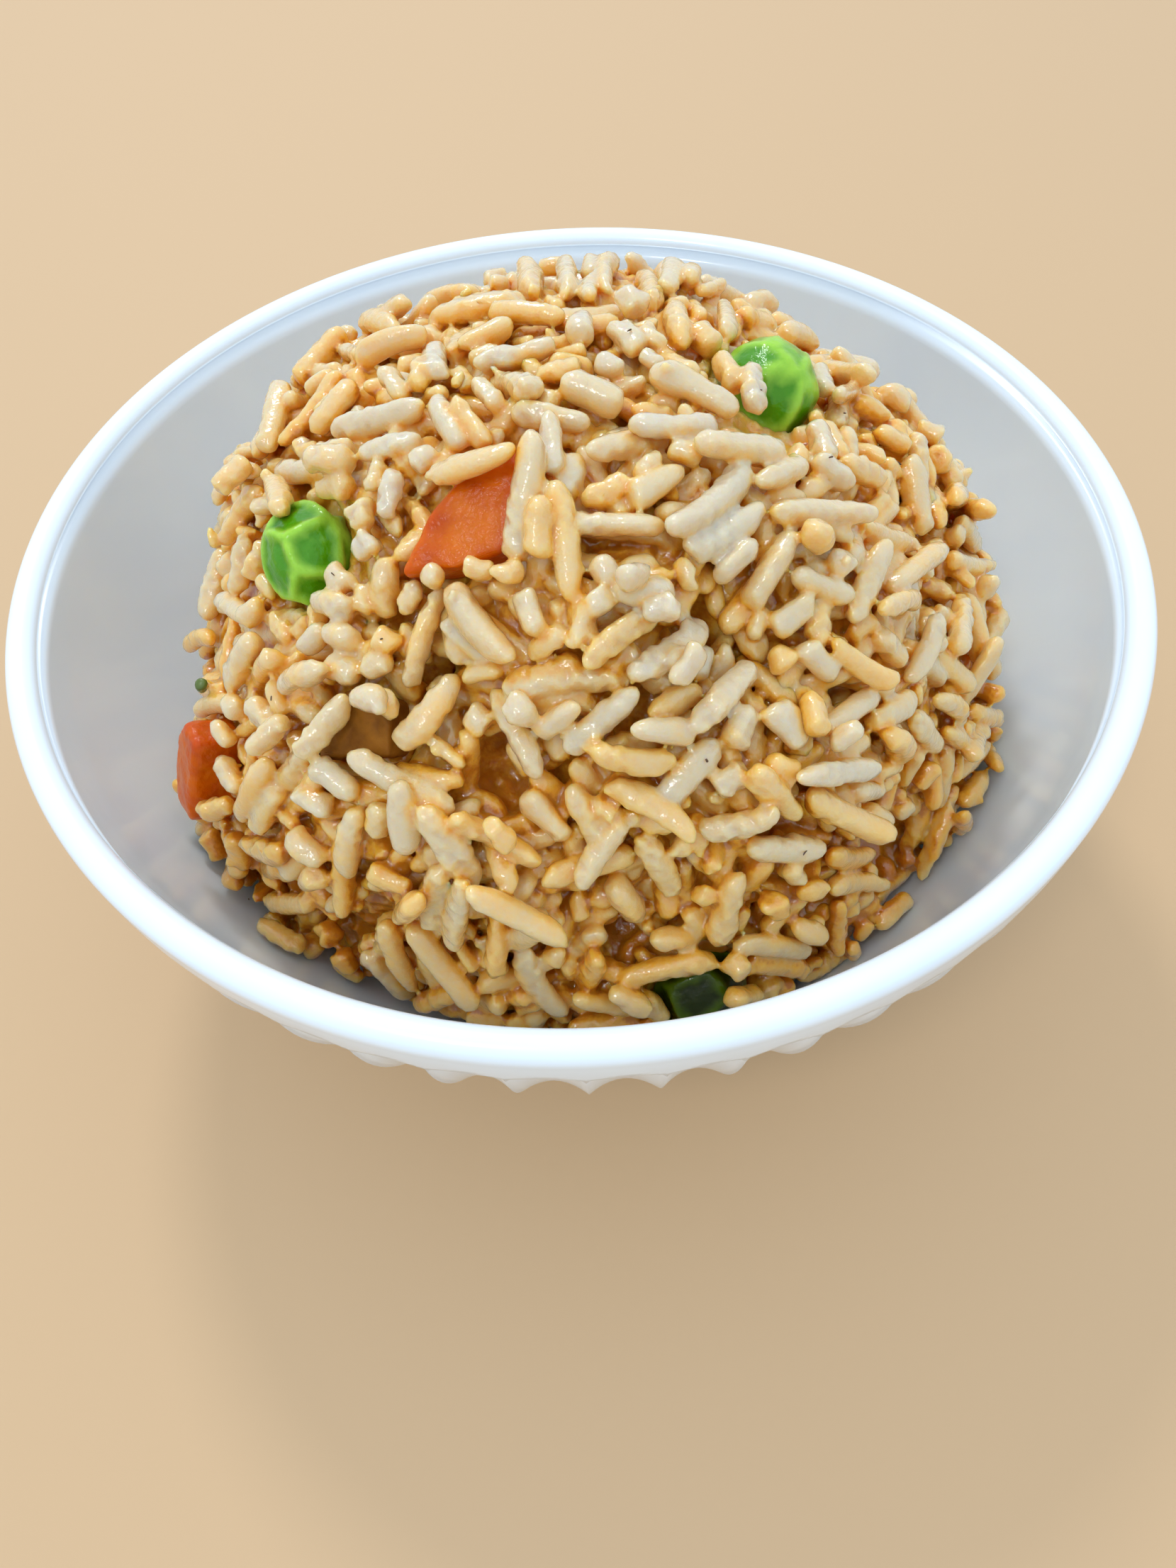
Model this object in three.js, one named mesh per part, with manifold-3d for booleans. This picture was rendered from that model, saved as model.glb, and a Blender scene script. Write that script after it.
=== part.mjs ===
// A small white glass bowl heaped with fried rice, with green peas, carrot and a browned piece in it.
// Millimetres, +Z up. The origin is the centre of the foot ring's underside, where the bowl stands.
import * as THREE from 'three';
import { mergeVertices } from 'three/addons/utils/BufferGeometryUtils.js';
import Module from 'manifold-3d';

const wasm = await Module();
wasm.setup();

const UP = new THREE.Vector3(0, 0, 1);
const FITTING_GAP = 0.3;

// ---------------------------------------------------------------------------------------------
// Closed meshes in and out of the boolean library
// ---------------------------------------------------------------------------------------------

// The triangles that lost their area when shared points were merged, as at a pole, are left out.
function toSolid(geometry) {
  const bare = geometry.clone();
  bare.deleteAttribute('normal');
  bare.deleteAttribute('uv');
  const merged = mergeVertices(bare, 1e-4);
  const triangles = [];
  for (let i = 0; i < merged.index.count; i += 3) {
    const [a, b, c] = [merged.index.getX(i), merged.index.getX(i + 1), merged.index.getX(i + 2)];
    if (a !== b && b !== c && c !== a) triangles.push(a, b, c);
  }
  return new wasm.Manifold(new wasm.Mesh({
    numProp: 3,
    vertProperties: new Float32Array(merged.attributes.position.array),
    triVerts: new Uint32Array(triangles),
  }));
}

function toMesh(name, solid, look) {
  const cut = solid.getMesh();
  const geometry = new THREE.BufferGeometry();
  geometry.setAttribute('position', new THREE.BufferAttribute(cut.vertProperties, 3));
  geometry.setIndex(new THREE.BufferAttribute(cut.triVerts, 1));
  geometry.computeVertexNormals();
  const mesh = new THREE.Mesh(geometry, new THREE.MeshStandardMaterial(look));
  mesh.name = name;
  return mesh;
}

// A profile of [radius, height] points, from the bottom up, turned round the Z axis.
function turned(profile, sides, turn = 0) {
  const points = profile.map(([radius, height]) => new THREE.Vector2(radius, height));
  return new THREE.LatheGeometry(points, sides, turn).rotateX(Math.PI / 2);
}

// Numbers from 0 to 1 that come out the same each time.
function seededDraws(seed) {
  let state = seed;
  return () => {
    state = (state * 1664525 + 1013904223) % 4294967296;
    return state / 4294967296;
  };
}

// ---------------------------------------------------------------------------------------------
// The bowl: opal glass, round in section, with concave flutes below a plain band at the rim
// ---------------------------------------------------------------------------------------------
const RIM_RADIUS = 55;
const BOWL_HEIGHT = 48;
const BODY_DEPTH = 46.9;
const WALL = 2.9;
const FLOOR = 4;
const LIP_ROUNDING = 1.4;
const BAND_TO_ARCH = 4.4;
const BAND_TO_CUSP = 5.8;
const FLUTES = 56;
const FLUTE_DEPTH = 1.2;
const FLUTE_ROWS = 4;
const FLUTES_END = 41.3;
const FIRST_RIDGE = THREE.MathUtils.degToRad(-1.8);
const FOOT_RADIUS = 23;
const FOOT_WIDTH = 2.8;
const FOOT_HEIGHT = 7.4;
const INSIDE_SIDES = 40;
const FOOT_SIDES = 28;

const insideRadius = RIM_RADIUS - WALL;
const insideDepth = BODY_DEPTH - FLOOR;

// A round bowl's radius at a depth below its rim, as a quarter of an ellipse.
function roundRadius(rimRadius, fullDepth, depth) {
  return rimRadius * Math.sqrt(Math.max(0, 1 - (depth / fullDepth) ** 2));
}

function outsideProfile() {
  const rows = [FLUTES_END, 33, 20, BAND_TO_CUSP, BAND_TO_ARCH, LIP_ROUNDING];
  const wall = rows.map((depth) => [roundRadius(RIM_RADIUS, BODY_DEPTH, depth), BOWL_HEIGHT - depth]);
  const lip = [
    [RIM_RADIUS - 0.3 * LIP_ROUNDING, BOWL_HEIGHT - 0.3 * LIP_ROUNDING],
    [RIM_RADIUS - LIP_ROUNDING, BOWL_HEIGHT],
  ];
  return [[0, BOWL_HEIGHT - BODY_DEPTH], ...wall, ...lip, [0, BOWL_HEIGHT]];
}

// Every second column of points is set back below the band, which leaves a ridge between two flutes.
function flutedBody() {
  const profile = outsideProfile();
  const geometry = turned(profile, 2 * FLUTES, FIRST_RIDGE);
  const places = geometry.attributes.position;
  for (let i = 0; i < places.count; i += 1) {
    const column = Math.floor(i / profile.length);
    const row = i % profile.length;
    if (column % 2 === 0 || row < 1 || row > FLUTE_ROWS) continue;
    const radius = Math.hypot(places.getX(i), places.getY(i));
    const setBack = (radius - FLUTE_DEPTH) / radius;
    places.setXY(i, places.getX(i) * setBack, places.getY(i) * setBack);
  }
  return toSolid(geometry);
}

// The hollow, also used a little smaller and carried on upwards, as the room that the food may fill.
function hollow(clearance, top) {
  const depths = [40.5, 34, 25, 15, LIP_ROUNDING];
  const radiusAt = (depth) => roundRadius(insideRadius, insideDepth, depth) - clearance;
  const wall = depths.map((depth) => [radiusAt(depth), BOWL_HEIGHT - depth + clearance]);
  const mouth = insideRadius - clearance + LIP_ROUNDING;
  return toSolid(turned(
    [[0, BOWL_HEIGHT - insideDepth + clearance], ...wall, [mouth, top], [0, top]],
    INSIDE_SIDES,
    FIRST_RIDGE,
  ));
}

function footRing() {
  const outer = FOOT_RADIUS;
  const inner = FOOT_RADIUS - FOOT_WIDTH;
  return toSolid(turned(
    [[inner, 0], [outer, 0], [outer + 0.6, FOOT_HEIGHT], [inner, FOOT_HEIGHT], [inner, 0]],
    FOOT_SIDES,
  ));
}

function bowl() {
  return flutedBody().add(footRing()).subtract(hollow(0, BOWL_HEIGHT + 0.5));
}

// ---------------------------------------------------------------------------------------------
// The heap's bare core: a tall dome with clumps that stand out and hollows between them
// ---------------------------------------------------------------------------------------------
const HEAP_CENTRE = new THREE.Vector3(0.6, -4, 23.2);
const CORE_SIZE = new THREE.Vector3(41.4, 41.5, 45.6);
const CORE_FACETS = 5;

// Each clump or hollow: the direction it lies in from the heap's centre (degrees round, from +X
// towards +Y, and degrees up), how far it stands out and how wide it is in degrees.
const CLUMPS = [
  [-92, 57, 2.6, 12],
  [-55, 66, 1.2, 12],
  [-35, 60, 1.6, 14],
  [11, 41, 2.2, 14],
  [-4, 29, 1.4, 9],
  [140, 57, 1.4, 12],
  [168, 49, 1.8, 13],
  [64, 64, 1.0, 16],
  [-116, 36, 1.6, 12],
  [-140, 30, 1.2, 13],
  [-64, 40, 1.6, 11],
  [-157, 10, 1.6, 12],
  [-165, 70, 1.0, 14],
];
const HOLLOWS = [
  [-172, 36, -1.4, 8],
  [-68, 55, -3.4, 6],
  [-103, 47, -2.8, 6],
  [-116, 53, -2.6, 5],
  [-86, 27, -2.8, 8],
  [-21, 41, -2.4, 8],
  [-44, 18, -3.6, 10],
  [-120, 13, -2.6, 8],
  [-136, 11, -2.2, 7],
];

function direction(round, up) {
  const [a, b] = [THREE.MathUtils.degToRad(round), THREE.MathUtils.degToRad(up)];
  return new THREE.Vector3(Math.cos(a) * Math.cos(b), Math.sin(a) * Math.cos(b), Math.sin(b));
}

const UNEVENNESS = [...CLUMPS, ...HOLLOWS].map(([round, up, height, width]) => ({
  towards: direction(round, up),
  height,
  width: THREE.MathUtils.degToRad(width),
}));

// The point of the core's surface in a direction from the heap's centre.
function corePoint(towards) {
  const { x, y, z } = towards;
  const round = 1 / Math.hypot(x / CORE_SIZE.x, y / CORE_SIZE.y, z / CORE_SIZE.z);
  const standsOut = UNEVENNESS.reduce(
    (sum, lump) => sum + lump.height * Math.exp(-((towards.angleTo(lump.towards) / lump.width) ** 2)),
    0,
  );
  return towards.clone().multiplyScalar(round + standsOut).add(HEAP_CENTRE);
}

function core() {
  const geometry = new THREE.IcosahedronGeometry(1, CORE_FACETS);
  const places = geometry.attributes.position;
  const towards = new THREE.Vector3();
  for (let i = 0; i < places.count; i += 1) {
    towards.fromBufferAttribute(places, i).normalize();
    const place = corePoint(towards);
    places.setXYZ(i, place.x, place.y, place.z);
  }
  return toSolid(geometry);
}

// ---------------------------------------------------------------------------------------------
// Toppings: each stands in the heap where it shows, in a socket with a small gap round it
// ---------------------------------------------------------------------------------------------

// The place of a topping: in a direction from the heap's centre, sunk below the core's surface by
// a length, with its own Z axis pointing out of the heap and then turned about it.
function placed(geometry, { round, up, sunk, turn = 0, lean = 0 }) {
  const towards = direction(round, up);
  const place = corePoint(towards).addScaledVector(towards, -sunk);
  const stand = new THREE.Quaternion().setFromUnitVectors(UP, towards);
  const spin = new THREE.Quaternion().setFromEuler(
    new THREE.Euler(THREE.MathUtils.degToRad(lean), 0, THREE.MathUtils.degToRad(turn), 'ZXY'),
  );
  return geometry.applyQuaternion(stand.multiply(spin)).translate(place.x, place.y, place.z);
}

// A cooked pea: a ball, longer one way, whose skin has fallen in between wrinkles. A wrinkle's hollow
// is given by its direction, its depth as a share of the radius and its width in degrees.
function pea(halfSizes, hollows) {
  return (grow) => {
    const geometry = new THREE.IcosahedronGeometry(1, 2);
    const places = geometry.attributes.position;
    const towards = new THREE.Vector3();
    for (let i = 0; i < places.count; i += 1) {
      towards.fromBufferAttribute(places, i).normalize();
      const fallenIn = hollows.reduce((sum, [round, up, depth, width]) => {
        const away = towards.angleTo(direction(round, up)) / THREE.MathUtils.degToRad(width);
        return sum + depth * Math.exp(-(away ** 2));
      }, 0);
      const [x, y, z] = halfSizes.map((size) => size * (1 - fallenIn) + grow);
      places.setXYZ(i, towards.x * x, towards.y * y, towards.z * z);
    }
    return geometry;
  };
}

// A chunk cut from a carrot or another soft piece: an outline, thick, with softened edges.
function chunk(outline, thickness, softness) {
  return (grow) => {
    const shape = new THREE.Shape(outline.map(([x, y]) => new THREE.Vector2(x, y)));
    const geometry = new THREE.ExtrudeGeometry(shape, {
      depth: thickness - 2 * softness,
      bevelEnabled: true,
      bevelThickness: softness + grow,
      bevelSize: grow,
      bevelOffset: -softness,
      bevelSegments: 1,
    });
    return geometry.translate(0, 0, softness - thickness / 2);
  };
}

const GREEN = { color: 0x4f9a1e, roughness: 0.3, metalness: 0 };
const DARK_GREEN = { color: 0x2f6a18, roughness: 0.35, metalness: 0 };
const ORANGE = { color: 0xe0691c, roughness: 0.4, metalness: 0 };
const BROWN = { color: 0x7a4216, roughness: 0.45, metalness: 0 };

const TOPPINGS = [
  {
    name: 'pea_left',
    shape: pea(
      [4.6, 3.8, 4.1],
      [[150, 35, 0.2, 30], [215, 25, 0.16, 26], [35, 35, 0.12, 28], [330, 30, 0.12, 26]],
    ),
    place: { round: -158, up: 55, sunk: 1.5, turn: 88 },
    look: GREEN,
  },
  {
    name: 'pea_right',
    shape: pea(
      [4.7, 4.3, 4.2],
      [[300, 30, 0.14, 26], [40, 40, 0.1, 26], [200, 45, 0.1, 24]],
    ),
    place: { round: 8, up: 67, sunk: 1.7, turn: 80 },
    look: GREEN,
  },
  {
    name: 'pea_front',
    shape: pea(
      [4.2, 3.7, 3.7],
      [[0, 55, 0.18, 22], [70, 40, 0.16, 22], [180, 50, 0.18, 24], [270, 35, 0.14, 24]],
    ),
    place: { round: -78, up: 11, sunk: 2.2, turn: 14 },
    look: DARK_GREEN,
  },
  {
    name: 'carrot_middle',
    shape: chunk(
      [[-6.4, 1.2], [-3.6, -1.8], [-0.4, -4.4], [5.2, -4.2], [6.4, 0.2], [5, 1.8], [-1.5, 2.2]],
      5,
      0.9,
    ),
    place: { round: -123, up: 69, sunk: 1.3, turn: 44, lean: 16 },
    look: ORANGE,
  },
  {
    name: 'carrot_left',
    shape: chunk(
      [[-4.9, -2.4], [4.6, -2.8], [5, 0.6], [2.4, 2.4], [-3.6, 2.4], [-5, 0.4]],
      4.6,
      0.8,
    ),
    place: { round: -155, up: 23, sunk: -0.6, turn: 34 },
    look: ORANGE,
  },
  {
    name: 'browned_piece',
    shape: chunk(
      [[-3.6, -2.4], [3.4, -2.8], [3.8, 1.6], [0.6, 3], [-3.2, 1.8]],
      3.2,
      0.5,
    ),
    place: { round: -128, up: 45, sunk: 1.5, turn: -8 },
    look: BROWN,
  },
];

function topping({ shape, place }, grow) {
  return toSolid(placed(shape(grow), place));
}

// ---------------------------------------------------------------------------------------------
// Grains of rice: long grains lie all over the core, in all directions, some standing a little up
// ---------------------------------------------------------------------------------------------
const GRAIN_LENGTH = 8.6;
const GRAIN_RADIUS = 1.3;
const GRAIN_SIDES = 5;
const GRAIN_COUNT = 200;
const PLACES_TRIED = 2600;
const ROUNDS_TRIED = 3;
const LOWEST_GRAIN = -8;
const STEEPEST_LEAN = 40;
const GOLDEN_TURN = 137.508;
const random = seededDraws(41);
const between = (low, high) => low + (high - low) * random();

// A grain tapers to both ends, and lies from one point to another.
function grain({ start, end, radius }) {
  const along = new THREE.Vector3().subVectors(end, start);
  const half = along.length() / 2;
  const shoulder = half - 1.1 * radius;
  const profile = [[0, -half], [radius, -shoulder], [radius, shoulder], [0, half]];
  const stand = new THREE.Quaternion().setFromUnitVectors(UP, along.normalize());
  const middle = new THREE.Vector3().addVectors(start, end).multiplyScalar(0.5);
  return turned(profile, GRAIN_SIDES).applyQuaternion(stand).translate(middle.x, middle.y, middle.z);
}

// A grain on the core in a direction from the heap's centre, turned any way and leaning out a little.
function lyingGrain(towards) {
  const middle = corePoint(towards).addScaledVector(towards, between(0.2, 0.8));
  const along = new THREE.Vector3().crossVectors(UP, towards).normalize();
  along.applyAxisAngle(towards, between(0, 2 * Math.PI));
  const hinge = new THREE.Vector3().crossVectors(along, towards).normalize();
  along.applyAxisAngle(hinge, THREE.MathUtils.degToRad(STEEPEST_LEAN * random() ** 2));
  along.multiplyScalar((GRAIN_LENGTH * between(0.74, 1.04)) / 2);
  return {
    start: new THREE.Vector3().subVectors(middle, along),
    end: new THREE.Vector3().addVectors(middle, along),
    radius: GRAIN_RADIUS * between(0.9, 1.1),
  };
}

function clearOf(other, one) {
  const line = new THREE.Line3(other.start, other.end);
  const nearest = new THREE.Vector3();
  return [0, 0.25, 0.5, 0.75, 1].every((share) => {
    const point = new THREE.Vector3().lerpVectors(one.start, one.end, share);
    line.closestPointToPoint(point, true, nearest);
    return nearest.distanceTo(point) > one.radius + other.radius;
  });
}

// The places tried go round the heap in golden turns, evenly by area, from the top down, and then
// again. A grain that would cross one already there is left out.
function grains() {
  const lying = [];
  const lowest = Math.sin(THREE.MathUtils.degToRad(LOWEST_GRAIN));
  for (let i = 0; i < PLACES_TRIED && lying.length < GRAIN_COUNT; i += 1) {
    const share = ((ROUNDS_TRIED * i) / PLACES_TRIED) % 1;
    const up = THREE.MathUtils.radToDeg(Math.asin(1 - (1 - lowest) * share));
    const one = lyingGrain(direction(i * GOLDEN_TURN, up));
    if (lying.every((other) => clearOf(other, one))) lying.push(one);
  }
  return lying.map((each) => toSolid(grain(each)));
}

// The heap stays clear of the glass and of the toppings. Ends of grains that this cuts off are loose
// scraps, and only the one body that holds together is kept.
function friedRice() {
  const room = hollow(FITTING_GAP, 2 * BOWL_HEIGHT);
  const sockets = TOPPINGS.map((each) => topping(each, FITTING_GAP));
  const heap = wasm.Manifold.union([core(), ...grains()]).intersect(room);
  const parts = wasm.Manifold.difference([heap, ...sockets]).decompose();
  return parts.reduce((largest, part) => (part.volume() > largest.volume() ? part : largest));
}

// ---------------------------------------------------------------------------------------------
// The filled bowl
// ---------------------------------------------------------------------------------------------
const filledBowl = new THREE.Group();
filledBowl.add(toMesh('bowl', bowl(), { color: 0xf1f3f6, roughness: 0.15, metalness: 0 }));
filledBowl.add(toMesh('fried_rice', friedRice(), { color: 0xd8b37a, roughness: 0.45, metalness: 0 }));
for (const each of TOPPINGS) {
  filledBowl.add(toMesh(each.name, topping(each, 0), each.look));
}

export default filledBowl;
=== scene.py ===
import math

import bmesh
import bpy
import numpy as np
from mathutils import Matrix, Vector, noise
from mathutils.bvhtree import BVHTree


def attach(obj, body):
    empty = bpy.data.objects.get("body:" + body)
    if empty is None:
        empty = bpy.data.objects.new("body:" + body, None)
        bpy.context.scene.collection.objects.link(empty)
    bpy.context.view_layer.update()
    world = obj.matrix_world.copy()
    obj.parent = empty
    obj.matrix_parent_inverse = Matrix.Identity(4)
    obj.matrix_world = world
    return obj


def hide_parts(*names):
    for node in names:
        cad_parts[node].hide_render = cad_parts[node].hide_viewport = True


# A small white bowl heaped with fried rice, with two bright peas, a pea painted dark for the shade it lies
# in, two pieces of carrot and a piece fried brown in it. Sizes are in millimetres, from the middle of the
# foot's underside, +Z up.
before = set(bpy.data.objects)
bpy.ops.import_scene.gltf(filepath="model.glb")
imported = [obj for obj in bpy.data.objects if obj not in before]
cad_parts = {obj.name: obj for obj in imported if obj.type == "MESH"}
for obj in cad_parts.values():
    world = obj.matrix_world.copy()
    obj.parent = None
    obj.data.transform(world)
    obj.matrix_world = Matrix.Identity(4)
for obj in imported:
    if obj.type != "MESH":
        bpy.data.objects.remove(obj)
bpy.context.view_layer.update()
MM = 0.001

# ---------------------------------------------------------------------------------------------------
# The camera looks down into the bowl from the front, close to the rice. A place in its picture is
# given by its distance from the left and from the top, in pixels.
# ---------------------------------------------------------------------------------------------------
PICTURE_SIZE = (1659, 2212)
CAMERA_PLACE = np.array([-0.17, -85.39, 125.53])
LOOKS_DOWN = 55.04
PICTURE_TURN = -3.58
FOCAL_PIXELS = 1612.1
SENSOR = 36.0

camera = bpy.data.objects.new("camera", bpy.data.cameras.new("camera"))
bpy.context.collection.objects.link(camera)
camera.data.sensor_width = SENSOR
camera.data.lens = FOCAL_PIXELS * SENSOR / max(PICTURE_SIZE)
camera.data.clip_start = 0.005
camera_turn = (
    Matrix.Rotation(math.radians(90 - LOOKS_DOWN), 3, "X")
    @ Matrix.Rotation(math.radians(PICTURE_TURN), 3, "Z")
)
camera.matrix_world = Matrix.LocRotScale(Vector(CAMERA_PLACE * MM), camera_turn.to_quaternion(), None)
bpy.context.scene.camera = camera
camera_axes = np.array(camera_turn)


def sight_line(across, down):
    """The direction from the camera through a place in its picture."""
    aim = np.array([across - PICTURE_SIZE[0] / 2, PICTURE_SIZE[1] / 2 - down, -FOCAL_PIXELS])
    aim = camera_axes @ aim
    return aim / np.linalg.norm(aim)


# ---------------------------------------------------------------------------------------------------
# The bowl is white opal glass, pressed in a mould: a plain inside, a smooth rounded band at the rim
# and concave flutes below it, whose ridges end in small points at the band. It stands on a foot ring.
# ---------------------------------------------------------------------------------------------------
RIM_RADIUS = 55
BOWL_HEIGHT = 48
BODY_DEPTH = 46.9
WALL = 2.9
FLOOR_THICKNESS = 4
LIP_ROUNDING = 1.4
BAND_TO_ARCH = 4.4
BAND_TO_CUSP = 5.8
STEP_ROUNDING = 0.9
FLUTES = 56
FLUTE_DEPTH = 1.2
FLUTES_END = 41.3
FIRST_RIDGE = -91.8
COLUMNS_A_FLUTE = 10
FOOT_RADIUS = 23
FOOT_WIDTH = 2.8
BAND_TOP = 1.9
FLUTES_FADE = 3
INSIDE_ROWS = 28
LIP_ROWS = 13
UNDERSIDE = 44.9
UNDERSIDE_MIDDLE = 3
# The foot's outline, from the ends of the flutes down to the table and up again to the underside:
# depths below the rim, and how far past the foot's outer or inner edge.
FOOT_OUTSIDE = [(42.4, 1.2), (43.2, 0.7), (45, 0.4), (47, 0.1), (47.8, -0.3), (48, -0.9)]
FOOT_INSIDE = [(48, 0.9), (47.8, 0.3), (47.2, 0), (45.6, -0.2), (45, -1.2), (UNDERSIDE, -4)]
INSIDE_RADIUS = RIM_RADIUS - WALL
INSIDE_DEPTH = BODY_DEPTH - FLOOR_THICKNESS


def quarter_ellipse(rim_radius, full_depth, depth):
    return rim_radius * np.sqrt(np.clip(1 - (depth / full_depth) ** 2, 0, 1))


def smooth_step(value):
    value = np.clip(value, 0, 1)
    return value * value * (3 - 2 * value)


def make_object(name, points, faces, smooth=True):
    """A mesh object from points in millimetres."""
    mesh = bpy.data.meshes.new(name)
    mesh.from_pydata((np.asarray(points, float) * MM).tolist(), [], [tuple(face) for face in faces])
    mesh.validate()
    if smooth:
        mesh.shade_smooth()
    piece = bpy.data.objects.new(name, mesh)
    bpy.context.collection.objects.link(piece)
    return piece


def bowl_rows():
    """Rows of the bowl's skin from the middle of its floor inside, over the lip, to under the foot:
    each a depth below the rim, the plain radius there and the share of the flutes' depth."""
    rows = []
    for turn in np.linspace(3, 88.3, INSIDE_ROWS):
        depth = INSIDE_DEPTH * math.cos(math.radians(turn))
        rows.append((depth, float(quarter_ellipse(INSIDE_RADIUS, INSIDE_DEPTH, depth)), 0.0))
    lip_middle = RIM_RADIUS - WALL / 2
    for turn in np.linspace(180, 0, LIP_ROWS):
        across = math.cos(math.radians(turn)) * WALL / 2
        rise = math.sin(math.radians(turn)) * LIP_ROUNDING
        rows.append((LIP_ROUNDING - rise, lip_middle + across, 0.0))
    band = np.linspace(BAND_TOP, BAND_TO_ARCH, 5)
    step = np.linspace(BAND_TO_ARCH, BAND_TO_CUSP + STEP_ROUNDING, 13)[1:]
    body = np.linspace(BAND_TO_CUSP + STEP_ROUNDING, FLUTES_END - FLUTES_FADE, 20)[1:]
    for depth in [*band, *step, *body]:
        rows.append((float(depth), float(quarter_ellipse(RIM_RADIUS, BODY_DEPTH, depth)), 1.0))
    for depth in np.linspace(FLUTES_END - FLUTES_FADE, FLUTES_END, 5)[1:]:
        share = float(smooth_step((FLUTES_END - depth) / FLUTES_FADE))
        rows.append((float(depth), float(quarter_ellipse(RIM_RADIUS, BODY_DEPTH, depth)), share))
    rows += [(depth, FOOT_RADIUS + past, 0) for depth, past in FOOT_OUTSIDE]
    inner = FOOT_RADIUS - FOOT_WIDTH
    rows += [(depth, inner + past, 0) for depth, past in FOOT_INSIDE]
    rows += [(UNDERSIDE, inner / 2, 0), (UNDERSIDE, UNDERSIDE_MIDDLE, 0)]
    return rows


def make_bowl():
    columns = FLUTES * COLUMNS_A_FLUTE
    turn = np.radians(FIRST_RIDGE + 360 * np.arange(columns) / columns)
    across = (np.arange(columns) % COLUMNS_A_FLUTE) / COLUMNS_A_FLUTE
    scoop = 1 - (2 * across - 1) ** 2
    band_edge = BAND_TO_CUSP - (BAND_TO_CUSP - BAND_TO_ARCH) * np.sqrt(scoop)
    points = []
    for depth, radius, share in bowl_rows():
        under_band = smooth_step((depth - band_edge) / STEP_ROUNDING) * share
        r = radius - FLUTE_DEPTH * scoop * under_band
        z = np.full(columns, BOWL_HEIGHT - depth)
        points.append(np.stack([r * np.cos(turn), r * np.sin(turn), z], 1))
    rows = len(points)
    points = np.concatenate(points)
    top_middle = [0, 0, BOWL_HEIGHT - INSIDE_DEPTH]
    under_middle = [0, 0, BOWL_HEIGHT - UNDERSIDE]
    points = np.vstack([points, top_middle, under_middle])
    faces = []
    for row in range(rows - 1):
        for column in range(columns):
            after = (column + 1) % columns
            a, b = row * columns + column, row * columns + after
            faces.append((a, b, b + columns, a + columns))
    last = (rows - 1) * columns
    for column in range(columns):
        after = (column + 1) % columns
        faces.append((rows * columns, after, column))
        faces.append((rows * columns + 1, last + column, last + after))
    return make_object("opal_bowl", points, [face[::-1] for face in faces])


class Finish:
    """A material with one Principled shader, and the makers of the nodes that feed it."""

    def __init__(self, name, settings):
        self.material = bpy.data.materials.new(name)
        self.material.use_nodes = True
        self.tree = self.material.node_tree
        self.shader = self.tree.nodes["Principled BSDF"]
        for socket, value in settings.items():
            self.shader.inputs[socket].default_value = value

    def node(self, kind, inputs, **settings):
        made = self.tree.nodes.new(kind)
        for key, value in settings.items():
            setattr(made, key, value)
        for socket, value in inputs.items():
            if isinstance(value, bpy.types.NodeSocket):
                self.tree.links.new(value, made.inputs[socket])
            else:
                made.inputs[socket].default_value = value
        return made

    def cloud(self, scale, detail=2):
        """An even noise, with so many patches to the metre."""
        place = self.node("ShaderNodeTexCoord", {}).outputs["Object"]
        made = self.node("ShaderNodeTexNoise", {"Vector": place, "Scale": scale, "Detail": detail})
        return made.outputs["Fac"]

    def marked(self, name):
        """What a mesh's corners carry under a name."""
        return self.node("ShaderNodeAttribute", {}, attribute_name=name).outputs["Fac"]

    def added(self, spots, share, amount):
        """An amount, and a share of spots that lie around a half."""
        spots = self.node("ShaderNodeMath", {0: spots, 1: -0.5}, operation="ADD").outputs[0]
        mixed = {0: spots, 1: share, 2: amount}
        return self.node("ShaderNodeMath", mixed, operation="MULTIPLY_ADD").outputs[0]

    def tint(self, amount, stops):
        """Colours the surface by an amount: each stop has a position and its colour."""
        ramp = self.node("ShaderNodeValToRGB", {"Fac": amount})
        marks = ramp.color_ramp.elements
        marks[0].position, marks[1].position = stops[0][0], stops[-1][0]
        for position, _ in stops[1:-1]:
            marks.new(position)
        for mark, (_, colour) in zip(marks, stops):
            mark.color = (*colour, 1)
        self.tree.links.new(ramp.outputs["Color"], self.shader.inputs["Base Color"])

    def bump(self, height, strength, distance, sockets, under=None):
        """Small bumps, over others if there are any, for some of the shader's normals."""
        inputs = {"Height": height, "Strength": strength, "Distance": distance}
        if under is not None:
            inputs["Normal"] = under
        normal = self.node("ShaderNodeBump", inputs).outputs["Normal"]
        for socket in sockets:
            self.tree.links.new(normal, self.shader.inputs[socket])
        return normal


def opal_glass():
    glass = Finish("opal_glass", {
        "Roughness": 0.24, "IOR": 1.45, "Subsurface Weight": 0.25, "Subsurface Radius": (1.0, 1.0, 1.1),
        "Subsurface Scale": 0.002, "Coat Weight": 0.4, "Coat Roughness": 0.06,
    })
    glass.tint(glass.cloud(60, 3), [(0.3, (0.81, 0.90, 1.0)), (0.7, (0.85, 0.935, 1.0))])
    glass.bump(glass.cloud(220), 0.12, 0.0002, ["Normal"])
    return glass.material


bowl = make_bowl()
bowl.data.materials.append(opal_glass())
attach(bowl, "root")
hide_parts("bowl")

# ---------------------------------------------------------------------------------------------------
# The form of the heap: rice pressed into the bowl and standing up as a tall uneven dome, with clumps
# that stand out and hollows between them. All that lies in the bowl is placed on this form.
# ---------------------------------------------------------------------------------------------------
HEAP_CENTRE = np.array([0.6, -4, 23.2])
HEAP_SIZE = np.array([41.4, 41.5, 45.6])
GRAINS_LIE_DEEP = 3.4
WALL_GAP = 0.35
FLOOR_GAP = 0.6
WIDE_OPEN = 200.0
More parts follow.
